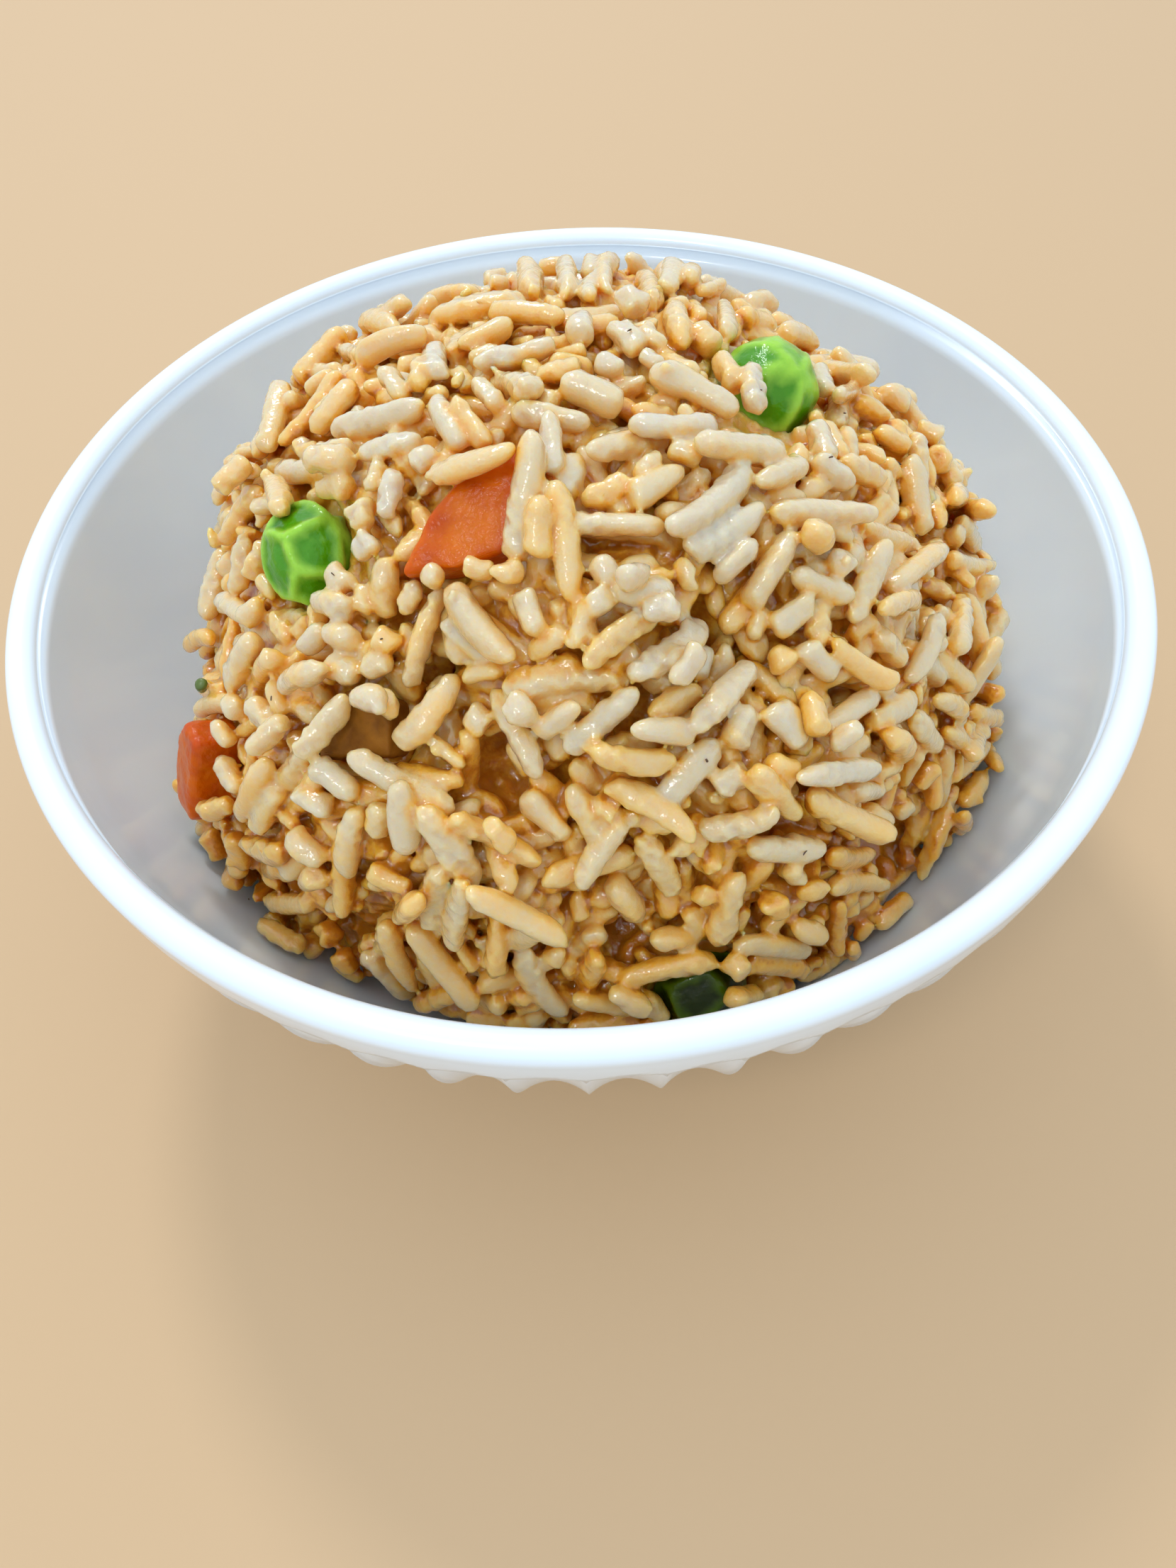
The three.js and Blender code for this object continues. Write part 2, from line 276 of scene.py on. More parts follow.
# Clumps and hollows: degrees round from +X towards +Y, degrees up, height, and width in degrees.
CLUMPS = [
    (-92, 57, 2.6, 12), (-55, 66, 1.2, 12), (-35, 60, 1.6, 14), (11, 41, 2.2, 14), (-4, 29, 1.4, 9),
    (140, 57, 1.4, 12), (168, 49, 1.8, 13), (64, 64, 1.0, 16), (-116, 36, 1.6, 12), (-140, 30, 1.2, 13),
    (-64, 40, 1.6, 11), (-157, 10, 1.6, 12), (-165, 70, 1.0, 14),
]
HOLLOWS = [
    (-172, 36, -1.4, 8), (-68, 55, -3.4, 6), (-103, 47, -2.8, 6), (-116, 53, -2.6, 5),
    (-86, 27, -2.8, 8), (-21, 41, -2.4, 8), (-44, 18, -3.6, 10), (-120, 13, -2.6, 8),
    (-136, 11, -2.2, 7),
]


def direction(round_degrees, up_degrees):
    a, b = math.radians(round_degrees), math.radians(up_degrees)
    return np.array([math.cos(a) * math.cos(b), math.sin(a) * math.cos(b), math.sin(b)])


lump_ways = np.array([direction(way, up) for way, up, _, _ in CLUMPS + HOLLOWS])
lump_heights = np.array([height for _, _, height, _ in CLUMPS + HOLLOWS])
lump_widths = np.array([width for _, _, _, width in CLUMPS + HOLLOWS])


def heap_reach(towards):
    """How far the heap reaches from its centre in each direction."""
    towards = np.atleast_2d(towards)
    away = np.degrees(np.arccos(np.clip(towards @ lump_ways.T, -1, 1)))
    lumps = (lump_heights * np.exp(-((away / lump_widths) ** 2))).sum(1)
    return 1 / np.linalg.norm(towards / HEAP_SIZE, axis=1) + lumps


def height_over_heap(points):
    """How far points lie outside the heap's plain surface."""
    out = np.atleast_2d(points) - HEAP_CENTRE
    far = np.linalg.norm(out, axis=1)
    return far - heap_reach(out / far[:, None])


def wall_radius(heights):
    """The bowl's inside radius at heights above the table; wide open above the lip."""
    depth = BOWL_HEIGHT - np.asarray(heights, float)
    inside = quarter_ellipse(INSIDE_RADIUS, INSIDE_DEPTH, np.clip(depth, 0, INSIDE_DEPTH))
    return np.where(depth > 0, inside, WIDE_OPEN)


# ---------------------------------------------------------------------------------------------------
# Two bright green peas near the top and one low at the front whose skin is painted dark green for the shade
# it lies in, all cooked until their skins fell in between pale wrinkles. Each sits in the rice by a little
# more than half its depth.
# ---------------------------------------------------------------------------------------------------


def placed(points, round_degrees, up_degrees, sunk, turn, lean=0):
    """Puts a topping's own points in the heap, its Z axis pointing out of the heap."""
    towards = direction(round_degrees, up_degrees)
    place = HEAP_CENTRE + towards * (heap_reach(towards)[0] - sunk)
    stand = Vector((0, 0, 1)).rotation_difference(Vector(towards)).to_matrix()
    spin = Matrix.Rotation(math.radians(turn), 3, "Z")
    tip = Matrix.Rotation(math.radians(lean), 3, "X")
    return np.asarray(points) @ np.array(stand @ tip @ spin).T + place


# How unevenly the hollows in a pea's skin lie, and how wide the ridges between them are.
UNEVEN_HOLLOWS = 0.22
RIDGE_WIDTH = 0.27


def pea(name, half_sizes, cells, depth, place, seed):
    """A pea whose skin fell in between a network of narrow ridges: flat hollows round a few middles."""
    own_draws = np.random.default_rng(seed)
    shape = bmesh.new()
    bmesh.ops.create_icosphere(shape, subdivisions=5, radius=1)
    ways = np.array([list(corner.co) for corner in shape.verts])
    ways /= np.linalg.norm(ways, axis=1)[:, None]
    count = np.arange(cells)
    middles = np.array([
        direction(137.5 * each, math.degrees(math.asin(1 - 2 * (each + 0.5) / cells))) for each in count
    ])
    middles += own_draws.normal(size=middles.shape) * UNEVEN_HOLLOWS
    middles /= np.linalg.norm(middles, axis=1)[:, None]
    away = np.arccos(np.clip(ways @ middles.T, -1, 1))
    nearest = np.argsort(away, axis=1)[:, :2]
    first, second = np.take_along_axis(away, nearest, 1).T
    fallen = 1 - np.exp(-(((second - first) / RIDGE_WIDTH) ** 2))
    cell_depth = depth * own_draws.uniform(0.55, 1.25, cells)[nearest[:, 0]]
    fine = np.array([noise.noise(Vector(way * 5 + seed)) for way in ways])
    size = 1.015 - cell_depth * fallen + 0.018 * fine
    points = ways * np.array(half_sizes) * size[:, None]
    faces = [[corner.index for corner in face.verts] for face in shape.faces]
    shape.free()
    piece = make_object(name, placed(points, *place), faces)
    ridges = piece.data.attributes.new("ridge", "FLOAT", "POINT")
    ridges.data.foreach_set("value", np.clip(1 - fallen + 0.25 * fine, 0, 1).astype(np.float32))
    return piece


def pea_skin(name, hollow_colour, ridge_colour):
    skin = Finish(name, {
        "Roughness": 0.28, "IOR": 1.25, "Subsurface Weight": 0.45, "Subsurface Radius": (0.5, 1.0, 0.15),
        "Subsurface Scale": 0.0015, "Coat Weight": 0.35, "Coat Roughness": 0.06,
    })
    spotted = skin.added(skin.cloud(900, 3), 0.7, skin.marked("ridge"))
    skin.tint(spotted, [(0.1, hollow_colour), (1.0, ridge_colour)])
    skin.bump(skin.cloud(2200), 0.35, 0.0002, ["Normal", "Coat Normal"])
    return skin.material


bright_skin = pea_skin("bright_pea_skin", (0.07, 0.28, 0.001), (0.34, 0.60, 0.05))
# The front pea's skin: the same green painted much darker, as painted shade.
shade_painted_skin = pea_skin("painted_shade_pea_skin", (0.016, 0.026, 0.0005), (0.07, 0.12, 0.002))
pea_left = pea("wrinkled_pea_left", (4.7, 3.9, 4.2), 13, 0.13, (-158, 55, 1.5, 88), 3)
pea_right = pea("wrinkled_pea_right", (4.8, 4.4, 4.3), 11, 0.08, (8, 67, 1.7, 80), 9)
pea_front = pea("wrinkled_pea_front", (4.3, 3.8, 3.8), 14, 0.13, (-78, 11, 2.2, 14), 5)
for piece, skin in ((pea_left, bright_skin), (pea_right, bright_skin), (pea_front, shade_painted_skin)):
    piece.data.materials.append(skin)
    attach(piece, "root")
    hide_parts(piece.name.replace("wrinkled_", ""))

# ---------------------------------------------------------------------------------------------------
# Two pieces of cooked carrot, cut by hand, their edges softened by cooking, and a small flat piece fried
# brown. All three are pressed into the rice.
# ---------------------------------------------------------------------------------------------------
LONGEST_EDGE = 0.45


def cut_piece(name, outline, thickness, softness, place, unevenness):
    """A piece cut to an outline, its edges softened by cooking and its faces a little uneven."""
    shape = bmesh.new()
    low = [shape.verts.new((x, y, -thickness / 2)) for x, y in outline]
    high = [shape.verts.new((x, y, thickness / 2)) for x, y in outline]
    shape.faces.new(low[::-1])
    shape.faces.new(high)
    for i in range(len(outline)):
        j = (i + 1) % len(outline)
        shape.faces.new((low[i], low[j], high[j], high[i]))
    bmesh.ops.bevel(
        shape, geom=shape.edges[:], offset=softness, segments=5, profile=0.5, affect="EDGES",
        clamp_overlap=True,
    )
    bmesh.ops.triangulate(shape, faces=shape.faces[:])
    for _ in range(5):
        long_edges = [edge for edge in shape.edges if edge.calc_length() > LONGEST_EDGE]
        bmesh.ops.subdivide_edges(shape, edges=long_edges, cuts=1)
        bmesh.ops.triangulate(shape, faces=shape.faces[:])
    shape.normal_update()
    bmesh.ops.smooth_vert(
        shape, verts=shape.verts[:], factor=0.5, use_axis_x=True, use_axis_y=True, use_axis_z=True,
    )
    shape.normal_update()
    moves = [
        corner.normal * unevenness * (noise.noise(corner.co * 0.45) + 0.4 * noise.noise(corner.co * 1.6))
        for corner in shape.verts
    ]
    for corner, move in zip(shape.verts, moves):
        corner.co += move
    points = np.array([list(corner.co) for corner in shape.verts])
    faces = [[corner.index for corner in face.verts] for face in shape.faces]
    shape.free()
    return make_object(name, placed(points, *place), faces)


def carrot_flesh():
    flesh = Finish("cooked_carrot_flesh", {
        "Roughness": 0.32, "IOR": 1.25, "Subsurface Weight": 0.6, "Subsurface Radius": (1.0, 0.35, 0.08),
        "Subsurface Scale": 0.0015, "Coat Weight": 0.15, "Coat Roughness": 0.12,
    })
    flesh.tint(flesh.cloud(280, 4), [(0.32, (0.52, 0.065, 0.0)), (0.7, (0.73, 0.165, 0.0))])
    flesh.bump(flesh.cloud(1800, 3), 0.4, 0.0003, ["Normal", "Coat Normal"])
    return flesh.material


def browned_skin():
    skin = Finish("browned_skin", {
        "Roughness": 0.5, "IOR": 1.2, "Subsurface Weight": 0.2, "Subsurface Radius": (1.0, 0.4, 0.1),
        "Subsurface Scale": 0.001,
    })
    blotches = skin.cloud(420, 5)
    skin.tint(blotches, [(0.35, (0.17, 0.055, 0.004)), (0.72, (0.35, 0.13, 0.01))])
    skin.bump(blotches, 0.6, 0.0006, ["Normal"])
    return skin.material


carrot = carrot_flesh()
carrot_middle = cut_piece(
    "carrot_wedge",
    [(-6.4, 1.2), (-3.6, -1.8), (-0.4, -4.4), (5.2, -4.2), (6.4, 0.2), (5, 1.8), (-1.5, 2.2)],
    5, 0.6, (-123, 69, 1.3, 44, 16), 0.15,
)
carrot_left = cut_piece(
    "carrot_chunk",
    [(-4.9, -2.4), (4.6, -2.8), (5, 0.6), (2.4, 2.4), (-3.6, 2.4), (-5, 0.4)],
    4.6, 0.8, (-155, 23, -0.6, 34), 0.2,
)
browned_piece = cut_piece(
    "browned_slab",
    [(-3.6, -2.4), (3.4, -2.8), (3.8, 1.6), (0.6, 3), (-3.2, 1.8)],
    3.2, 0.5, (-128, 45, 1.5, -8), 0.2,
)
for piece, node_name, flesh, slot in (
    (carrot_middle, "carrot_middle", carrot, "cooked_carrot"),
    (carrot_left, "carrot_left", carrot, "cooked_carrot"),
    (browned_piece, "browned_piece", browned_skin(), "browned_food"),
):
    piece.data.materials.append(flesh)
    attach(piece, "root")
    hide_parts(node_name)

# ---------------------------------------------------------------------------------------------------
# The rice is medium-long grain, fried in soy sauce: each grain swollen, bent a little, blunt, pointed
# or cut at its ends, sticky, and browner the deeper it lies, from the sauce and from painted shade. Many
# are broken. The grains lie in all directions on the soaked core and on one another, pressed together
# where they touch.
# ---------------------------------------------------------------------------------------------------
draws = np.random.default_rng(20)
LONGEST_GRAIN = 9.6
BROKEN_LENGTHS = (3.4, 5.8)
MOST_GRAINS = 4500
# How high over the heap's plain surface the grains that show are tried, from low to high.
LOWEST_SHOWN = 0.5
HIGHEST_SHOWN = 6.9
# How far below the heap's middle the filling grains begin, and how far a grain leans, in degrees.
FILLED_FROM = -12
STEEPEST_LEAN = 35
# Two grains may lie as close as this share of their thickness.
PRESSED_TOGETHER = 0.72
# The flank that lies lower than the rest, and how wide and deep it sinks.
LEAN_FLANK = (-172, 18)
LEAN_WIDTH = 45
LEAN_DEPTH = 1.8

# Grains that show, placed one by one: both ends in the camera's picture, thickness in millimetres, and
# kind.
# A grain that lies on others comes after them.
SHOWN_GRAINS = [
    # along the back edge
    (484, 494, 512, 500, 1.9, "cream"), (510, 455, 563, 467, 2.1, "amber"),
    (504, 510, 604, 474, 2.4, "cream"), (604, 452, 742, 423, 2.3, "amber"),
    (689, 442, 798, 449, 2.2, "amber"), (692, 398, 716, 404, 2.0, "cream"),
    (745, 377, 751, 417, 2.6, "amber"), (795, 368, 799, 419, 2.0, "cream"),
    (836, 395, 833, 420, 1.8, "cream"), (865, 366, 858, 412, 2.0, "cream"),
    (877, 410, 905, 440, 2.6, "cream"), (951, 370, 939, 408, 2.2, "cream"),
    (906, 385, 921, 430, 2.1, "cream"), (986, 413, 1018, 401, 1.7, "cream"),
    (824, 448, 820, 478, 2.4, "pale"), (868, 461, 898, 497, 2.2, "pale"),
    (951, 433, 964, 488, 2.3, "amber"), (980, 466, 1012, 490, 2.6, "amber"),
    (1021, 427, 1028, 475, 2.0, "cream"), (1047, 443, 1091, 458, 2.3, "amber"),
    (1104, 470, 1155, 488, 2.2, "cream"), (1155, 519, 1169, 553, 2.0, "pale"),
    # upper left
    (440, 610, 499, 538, 2.3, "amber"), (452, 642, 496, 632, 2.4, "cream"),
    (595, 515, 590, 550, 1.9, "amber"), (619, 487, 622, 531, 2.1, "pale"),
    (645, 488, 722, 458, 2.3, "amber"), (669, 538, 706, 574, 1.7, "cream"),
    (757, 532, 821, 514, 2.3, "amber"), (669, 513, 783, 486, 2.3, "pale"),
    (466, 605, 598, 571, 2.4, "pale"), (507, 641, 592, 619, 2.2, "pale"),
    (610, 561, 651, 632, 2.2, "pale"), (639, 561, 689, 629, 2.0, "amber"),
    (584, 661, 613, 632, 2.0, "pale"), (792, 536, 878, 574, 3.1, "cream"),
    (842, 505, 880, 521, 2.0, "pale"), (722, 579, 833, 597, 2.2, "cream"),
    (906, 500, 935, 519, 1.9, "pale"), (916, 524, 1039, 584, 2.5, "cream"),
    (1012, 501, 1038, 547, 2.2, "amber"), (541, 730, 556, 664, 2.1, "pale"),
    (604, 672, 727, 631, 2.3, "amber"), (429, 650, 500, 652, 2.5, "cream"),
    (386, 676, 395, 724, 2.1, "amber"), (332, 660, 366, 667, 2.0, "cream"),
    (306, 693, 352, 651, 2.2, "amber"), (449, 694, 494, 688, 2.2, "amber"),
    (505, 712, 512, 745, 2.3, "cream"), (332, 838, 344, 756, 2.1, "pale"),
    # round the carrot and the middle of the top
    (810, 640, 789, 705, 2.2, "pale"), (779, 678, 804, 847, 2.3, "amber"),
    (774, 582, 780, 668, 2.0, "pale"), (754, 606, 724, 790, 2.5, "cream"),
    (766, 698, 760, 788, 2.2, "amber"),
    (807, 739, 938, 742, 2.3, "cream"), (820, 707, 887, 678, 2.2, "amber"),
    (890, 707, 966, 662, 2.3, "cream"), (941, 744, 1053, 660, 2.6, "pale"),
    (948, 631, 989, 641, 2.5, "cream"), (983, 622, 1104, 640, 2.5, "cream"),
    (970, 780, 1078, 713, 2.4, "pale"), (1072, 680, 1134, 655, 2.3, "cream"),
    (1010, 820, 1067, 766, 2.2, "pale"), (1054, 855, 1124, 746, 2.4, "cream"),
    (1062, 516, 1068, 581, 2.2, "pale"),
    # right side
    (1086, 721, 1239, 724, 2.3, "cream"), (1152, 598, 1170, 648, 2.3, "pale"),
    (1149, 648, 1203, 686, 2.3, "pale"), (1187, 648, 1246, 681, 2.1, "cream"),
    (1209, 566, 1251, 590, 2.2, "amber"), (1181, 558, 1207, 550, 1.8, "cream"),
    (1238, 548, 1283, 577, 2.1, "cream"), (1295, 596, 1330, 616, 2.0, "cream"),
    (1235, 606, 1279, 634, 2.2, "amber"), (1281, 644, 1307, 750, 2.6, "cream"),
    (1314, 631, 1334, 668, 2.1, "cream"), (1220, 740, 1293, 769, 2.1, "cream"),
    (1201, 877, 1252, 762, 2.3, "cream"), (1255, 833, 1328, 775, 2.2, "cream"),
    (1344, 785, 1402, 797, 2.1, "cream"), (1140, 740, 1160, 770, 2.3, "amber"),
    (1175, 780, 1195, 806, 2.2, "pale"), (1121, 807, 1201, 845, 2.2, "pale"),
    (1089, 887, 1147, 842, 2.2, "cream"), (1092, 915, 1112, 941, 2.3, "amber"),
    (1131, 909, 1179, 957, 2.2, "pale"), (1236, 893, 1274, 935, 2.1, "cream"),
    (1163, 1036, 1234, 980, 2.1, "pale"), (1173, 1056, 1215, 1022, 1.9, "pale"),
    (1227, 1024, 1285, 987, 2.7, "cream"), (1288, 1007, 1323, 1055, 2.3, "cream"),
    (1333, 1030, 1357, 1047, 1.9, "cream"), (1317, 986, 1357, 1020, 1.9, "cream"),
    (1371, 1002, 1412, 1016, 2.0, "cream"), (1294, 1111, 1320, 1076, 2.1, "amber"),
    (1355, 1134, 1387, 1088, 2.1, "cream"), (1262, 1150, 1284, 1130, 2.0, "pale"),
    # the middle
    (600, 806, 622, 822, 1.9, "cream"), (655, 800, 700, 806, 2.1, "amber"),
    (700, 812, 735, 800, 1.9, "amber"),
    (635, 825, 724, 933, 2.6, "cream"), (737, 831, 759, 895, 2.3, "cream"),
    (842, 786, 866, 826, 2.1, "cream"), (840, 838, 852, 860, 2.3, "pale"),
    (871, 834, 948, 837, 2.5, "pale"), (887, 952, 992, 879, 2.5, "pale"),
    (876, 812, 912, 806, 2.0, "pale"), (906, 862, 958, 850, 2.2, "pale"),
    (948, 942, 976, 926, 2.2, "pale"), (1000, 915, 980, 958, 2.0, "pale"),
    (823, 941, 927, 864, 2.2, "amber"), (951, 965, 989, 909, 2.1, "pale"),
    (708, 980, 890, 958, 2.6, "pale"), (665, 1000, 686, 1024, 2.4, "cream"),
    (722, 990, 748, 1018, 2.5, "cream"), (759, 1034, 817, 992, 2.3, "pale"),
    (798, 1059, 899, 973, 2.4, "pale"), (916, 1008, 990, 973, 2.1, "amber"),
    (890, 1029, 976, 1036, 2.4, "pale"), (976, 1034, 1059, 940, 2.3, "pale"),
    (1033, 1056, 1060, 998, 2.6, "pale"), (1080, 1075, 1122, 1092, 2.5, "amber"),
    (1084, 996, 1134, 1052, 3.0, "pale"), (1141, 981, 1157, 1034, 2.5, "amber"),
    (935, 1132, 1013, 1044, 2.8, "pale"), (1062, 1086, 1129, 1155, 2.3, "amber"),
    (988, 1172, 1100, 1146, 2.5, "cream"), (1007, 1110, 1053, 1086, 2.6, "pale"),
    (1138, 1121, 1260, 1181, 2.6, "amber"), (1205, 1117, 1243, 1115, 1.8, "pale"),
    (1124, 1098, 1239, 1083, 2.3, "pale"), (740, 1117, 800, 1181, 2.4, "cream"),
    # left and the front left
    (262, 914, 300, 900, 1.9, "amber"), (323, 972, 361, 898, 2.4, "cream"),
    (347, 875, 366, 849, 2.2, "cream"), (424, 919, 457, 881, 2.0, "pale"),
    (468, 800, 492, 829, 2.3, "cream"), (502, 786, 527, 760, 2.4, "pale"),
    (445, 848, 496, 864, 2.5, "pale"), (463, 895, 504, 906, 2.4, "pale"),
    (463, 936, 504, 958, 2.5, "cream"), (512, 943, 554, 934, 2.2, "cream"),
    (529, 895, 562, 912, 2.2, "amber"), (399, 972, 459, 945, 2.2, "pale"),
    (418, 1068, 491, 981, 2.3, "cream"), (537, 984, 552, 1004, 2.4, "cream"),
    (561, 1055, 644, 952, 2.5, "cream"), (443, 1075, 504, 1124, 2.3, "pale"),
    (491, 1063, 641, 1143, 2.3, "pale"), (418, 1116, 467, 1143, 2.5, "pale"),
    (345, 1188, 400, 1204, 2.5, "amber"), (290, 1172, 310, 1214, 2.2, "amber"),
    (328, 1178, 346, 1226, 2.1, "amber"), (285, 1146, 326, 1132, 2.2, "amber"),
    (302, 1018, 326, 1052, 1.9, "pale"), (316, 1066, 338, 1118, 2.0, "pale"),
    (356, 988, 386, 1032, 2.5, "pale"), (352, 1062, 404, 1012, 2.1, "cream"),
    (323, 984, 334, 1010, 2.1, "pale"),
    (497, 984, 542, 996, 2.2, "cream"),
    (412, 1172, 459, 1215, 2.4, "pale"), (341, 1154, 380, 1070, 2.3, "cream"),
    (491, 1237, 508, 1140, 2.3, "cream"), (574, 1205, 560, 1102, 2.4, "pale"),
    (520, 1225, 581, 1252, 2.1, "amber"), (635, 1152, 764, 1219, 2.2, "amber"),
    (593, 1136, 672, 1250, 2.7, "cream"), (376, 1270, 441, 1273, 2.2, "cream"),
    (381, 1286, 399, 1320, 2.3, "cream"), (404, 1318, 426, 1344, 2.3, "amber"),
    (432, 1318, 448, 1350, 2.3, "cream"), (480, 1340, 496, 1372, 2.3, "amber"),
    (364, 1299, 431, 1337, 2.2, "cream"), (452, 1305, 470, 1326, 2.4, "amber"),
    (434, 1370, 537, 1272, 2.3, "amber"), (638, 1336, 655, 1242, 2.3, "cream"),
    (657, 1257, 802, 1332, 2.6, "cream"), (542, 1299, 587, 1398, 2.2, "cream"),
    (577, 1305, 671, 1422, 2.5, "cream"), (737, 1334, 800, 1432, 2.4, "pale"),
    (690, 1160, 720, 1196, 2.2, "amber"), (800, 1110, 842, 1190, 2.2, "cream"),
    # the front right
    (1055, 1196, 1161, 1196, 2.5, "pale"), (1113, 1222, 1128, 1244, 2.0, "cream"),
    (1083, 1268, 1102, 1290, 2.4, "amber"), (1125, 1262, 1162, 1255, 2.0, "amber"),
    (1173, 1254, 1254, 1250, 2.1, "cream"), (1187, 1272, 1182, 1347, 2.0, "amber"),
    (1237, 1308, 1283, 1268, 2.1, "cream"), (1173, 1205, 1226, 1206, 2.5, "amber"),
    (1040, 1362, 1141, 1369, 2.2, "amber"), (1036, 1332, 1142, 1343, 2.1, "pale"),
    (979, 1256, 1008, 1270, 2.1, "amber"), (1012, 1332, 1040, 1232, 2.6, "cream"),
    (1028, 1352, 1052, 1376, 2.3, "cream"), (1030, 1408, 1066, 1402, 2.4, "cream"),
    (908, 1404, 936, 1440, 2.3, "cream"),
    (868, 1386, 1012, 1356, 2.5, "amber"), (905, 1180, 950, 1262, 2.3, "cream"),
    (862, 1240, 905, 1292, 2.6, "cream"), (862, 1400, 912, 1424, 2.2, "cream"),
]


# No filling grain starts over a gap deeper than the first of these, or reaches over one deeper than
# the second.
FREE_GAP = 1.2
BRIDGED_GAP = 1.7
# Deep dark gaps between the clumps: place in the picture, width in millimetres and depth.
DEEP_GAPS = [
    (984, 862, 2.0, 3.2), (990, 905, 2.0, 3.4), (915, 1000, 2.6, 3.4), (880, 1012, 2.0, 3.0),
    (700, 1112, 3.0, 3.0), (694, 1056, 2.0, 2.6), (622, 935, 2.4, 2.4), (550, 849, 2.0, 2.2),
    (1099, 1170, 1.8, 3.0), (1205, 976, 2.0, 2.4), (670, 566, 1.4, 2.0), (1105, 1152, 1.4, 3.0),
    (875, 1330, 2.6, 3.0), (1262, 1205, 4.5, 3.4), (1084, 1305, 2.0, 2.6), (530, 1385, 3.0, 2.6),
    (590, 1040, 1.8, 2.2), (386, 1255, 1.8, 2.2), (1145, 1352, 1.8, 2.4), (1128, 1142, 1.6, 2.6),
]


def gap_between(a_start, a_end, b_start, b_end):
    """The shortest distance between straight stretches, for whole arrays of them at once, and how far
    along each of the two it is."""
    a_way, b_way, apart = a_end - a_start, b_end - b_start, a_start - b_start
    aa, ab, bb = (a_way * a_way).sum(-1), (a_way * b_way).sum(-1), (b_way * b_way).sum(-1)
    a_apart, b_apart = (a_way * apart).sum(-1), (b_way * apart).sum(-1)
    crossing = np.maximum(aa * bb - ab * ab, 1e-9)
    s = np.clip((ab * b_apart - bb * a_apart) / crossing, 0, 1)
    t = np.clip((ab * s + b_apart) / np.maximum(bb, 1e-9), 0, 1)
    s = np.clip((ab * t - a_apart) / np.maximum(aa, 1e-9), 0, 1)
    return np.linalg.norm(apart + s[..., None] * a_way - t[..., None] * b_way, axis=-1), s, t


def in_picture(points):
    """Points as the camera sees them: across and up on a plane at unit distance, and how far away."""
    seen = (np.asarray(points) - CAMERA_PLACE) @ camera_axes
    flat = seen / -seen[..., 2:]
    flat[..., 2] = 0
    return flat, -seen[..., 2]


def seen_on_heap(across, down, lift):
    """The place on the heap, lifted over its plain surface, that the camera sees at a picture place."""
    way = sight_line(across, down)
    steps = np.linspace(55, 190, 541)
    heights = height_over_heap(CAMERA_PLACE + steps[:, None] * way) - lift
    inside = np.nonzero(heights <= 0)[0]
    first = inside[0] if len(inside) else int(np.argmin(heights))
    if len(inside) and first > 0:
        share = heights[first - 1] / (heights[first - 1] - heights[first])
        return CAMERA_PLACE + way * (steps[first - 1] + share * (steps[1] - steps[0]))
    return CAMERA_PLACE + way * steps[first]


gap_places = np.array([seen_on_heap(across, down, 0) for across, down, _, _ in DEEP_GAPS]) - HEAP_CENTRE
gap_reach = np.linalg.norm(gap_places, axis=1)
gap_ways = gap_places / gap_reach[:, None]
gap_widths = np.degrees(np.array([width for _, _, width, _ in DEEP_GAPS]) / gap_reach)
gap_depths = np.array([depth for _, _, _, depth in DEEP_GAPS])


def gap_depth(towards):
    """How much deeper than around it the heap is in each direction."""
    away = np.degrees(np.arccos(np.clip(np.atleast_2d(towards) @ gap_ways.T, -1, 1)))
    return (gap_depths * np.exp(-((away / gap_widths) ** 2))).max(1)


toppings = [pea_left, pea_right, pea_front, carrot_middle, carrot_left, browned_piece]
topping_skins = []
for piece in toppings:
    corners = np.array([list(corner.co) for corner in piece.data.vertices]) / MM
    faces = [list(face.vertices) for face in piece.data.polygons]
    topping_skins.append((
        BVHTree.FromPolygons(corners.tolist(), faces),
        corners.mean(0),
        np.linalg.norm(corners - corners.mean(0), axis=1).max(),
    ))


def stretch_points(start, end, count=5):
    return start + np.linspace(0, 1, count)[:, None] * (end - start)


def touches_topping(start, end, radius):
    points = stretch_points(start, end)
    for skin, middle, size in topping_skins:
        if np.linalg.norm(points - middle, axis=1).min() > size + radius:
            continue
        for point in points:
            near, normal, _, away = skin.find_nearest(Vector(point))
            if away < 0.8 * radius or (Vector(point) - near).dot(normal) < 0:
                return True
    return False


def hides_topping(start, end, radius):
    for skin, middle, size in topping_skins:
        for point in stretch_points(start, end, 4):
            way = point - CAMERA_PLACE
            way /= np.linalg.norm(way)
            off = middle - point
            if np.linalg.norm(off - way * (off @ way)) > size + radius:
                continue
            side = np.cross(way, end - start)
            side *= 0.7 * radius / max(np.linalg.norm(side), 1e-6)
            if any(skin.ray_cast(Vector(point + shift), Vector(way))[0] for shift in (side, -side)):
                return True
    return False


def behind_topping(start, end):
    """Whether a topping lies between the camera and a stretch."""
    for point in stretch_points(start, end, 5):
        far = np.linalg.norm(point - CAMERA_PLACE)
        way = (point - CAMERA_PLACE) / far
        for skin, middle, size in topping_skins:
            off = middle - point
            if np.linalg.norm(off - way * (off @ way)) > size:
                continue
            hit = skin.ray_cast(Vector(CAMERA_PLACE), Vector(way))
            if hit[0] and hit[3] < far:
                return True
    return False


def fits_bowl(start, end, radius):
    points = stretch_points(start, end, 3)
    out = np.hypot(points[:, 0], points[:, 1]) + 0.9 * radius
    return bool((out <= wall_radius(points[:, 2] - 0.4 * radius)).all())


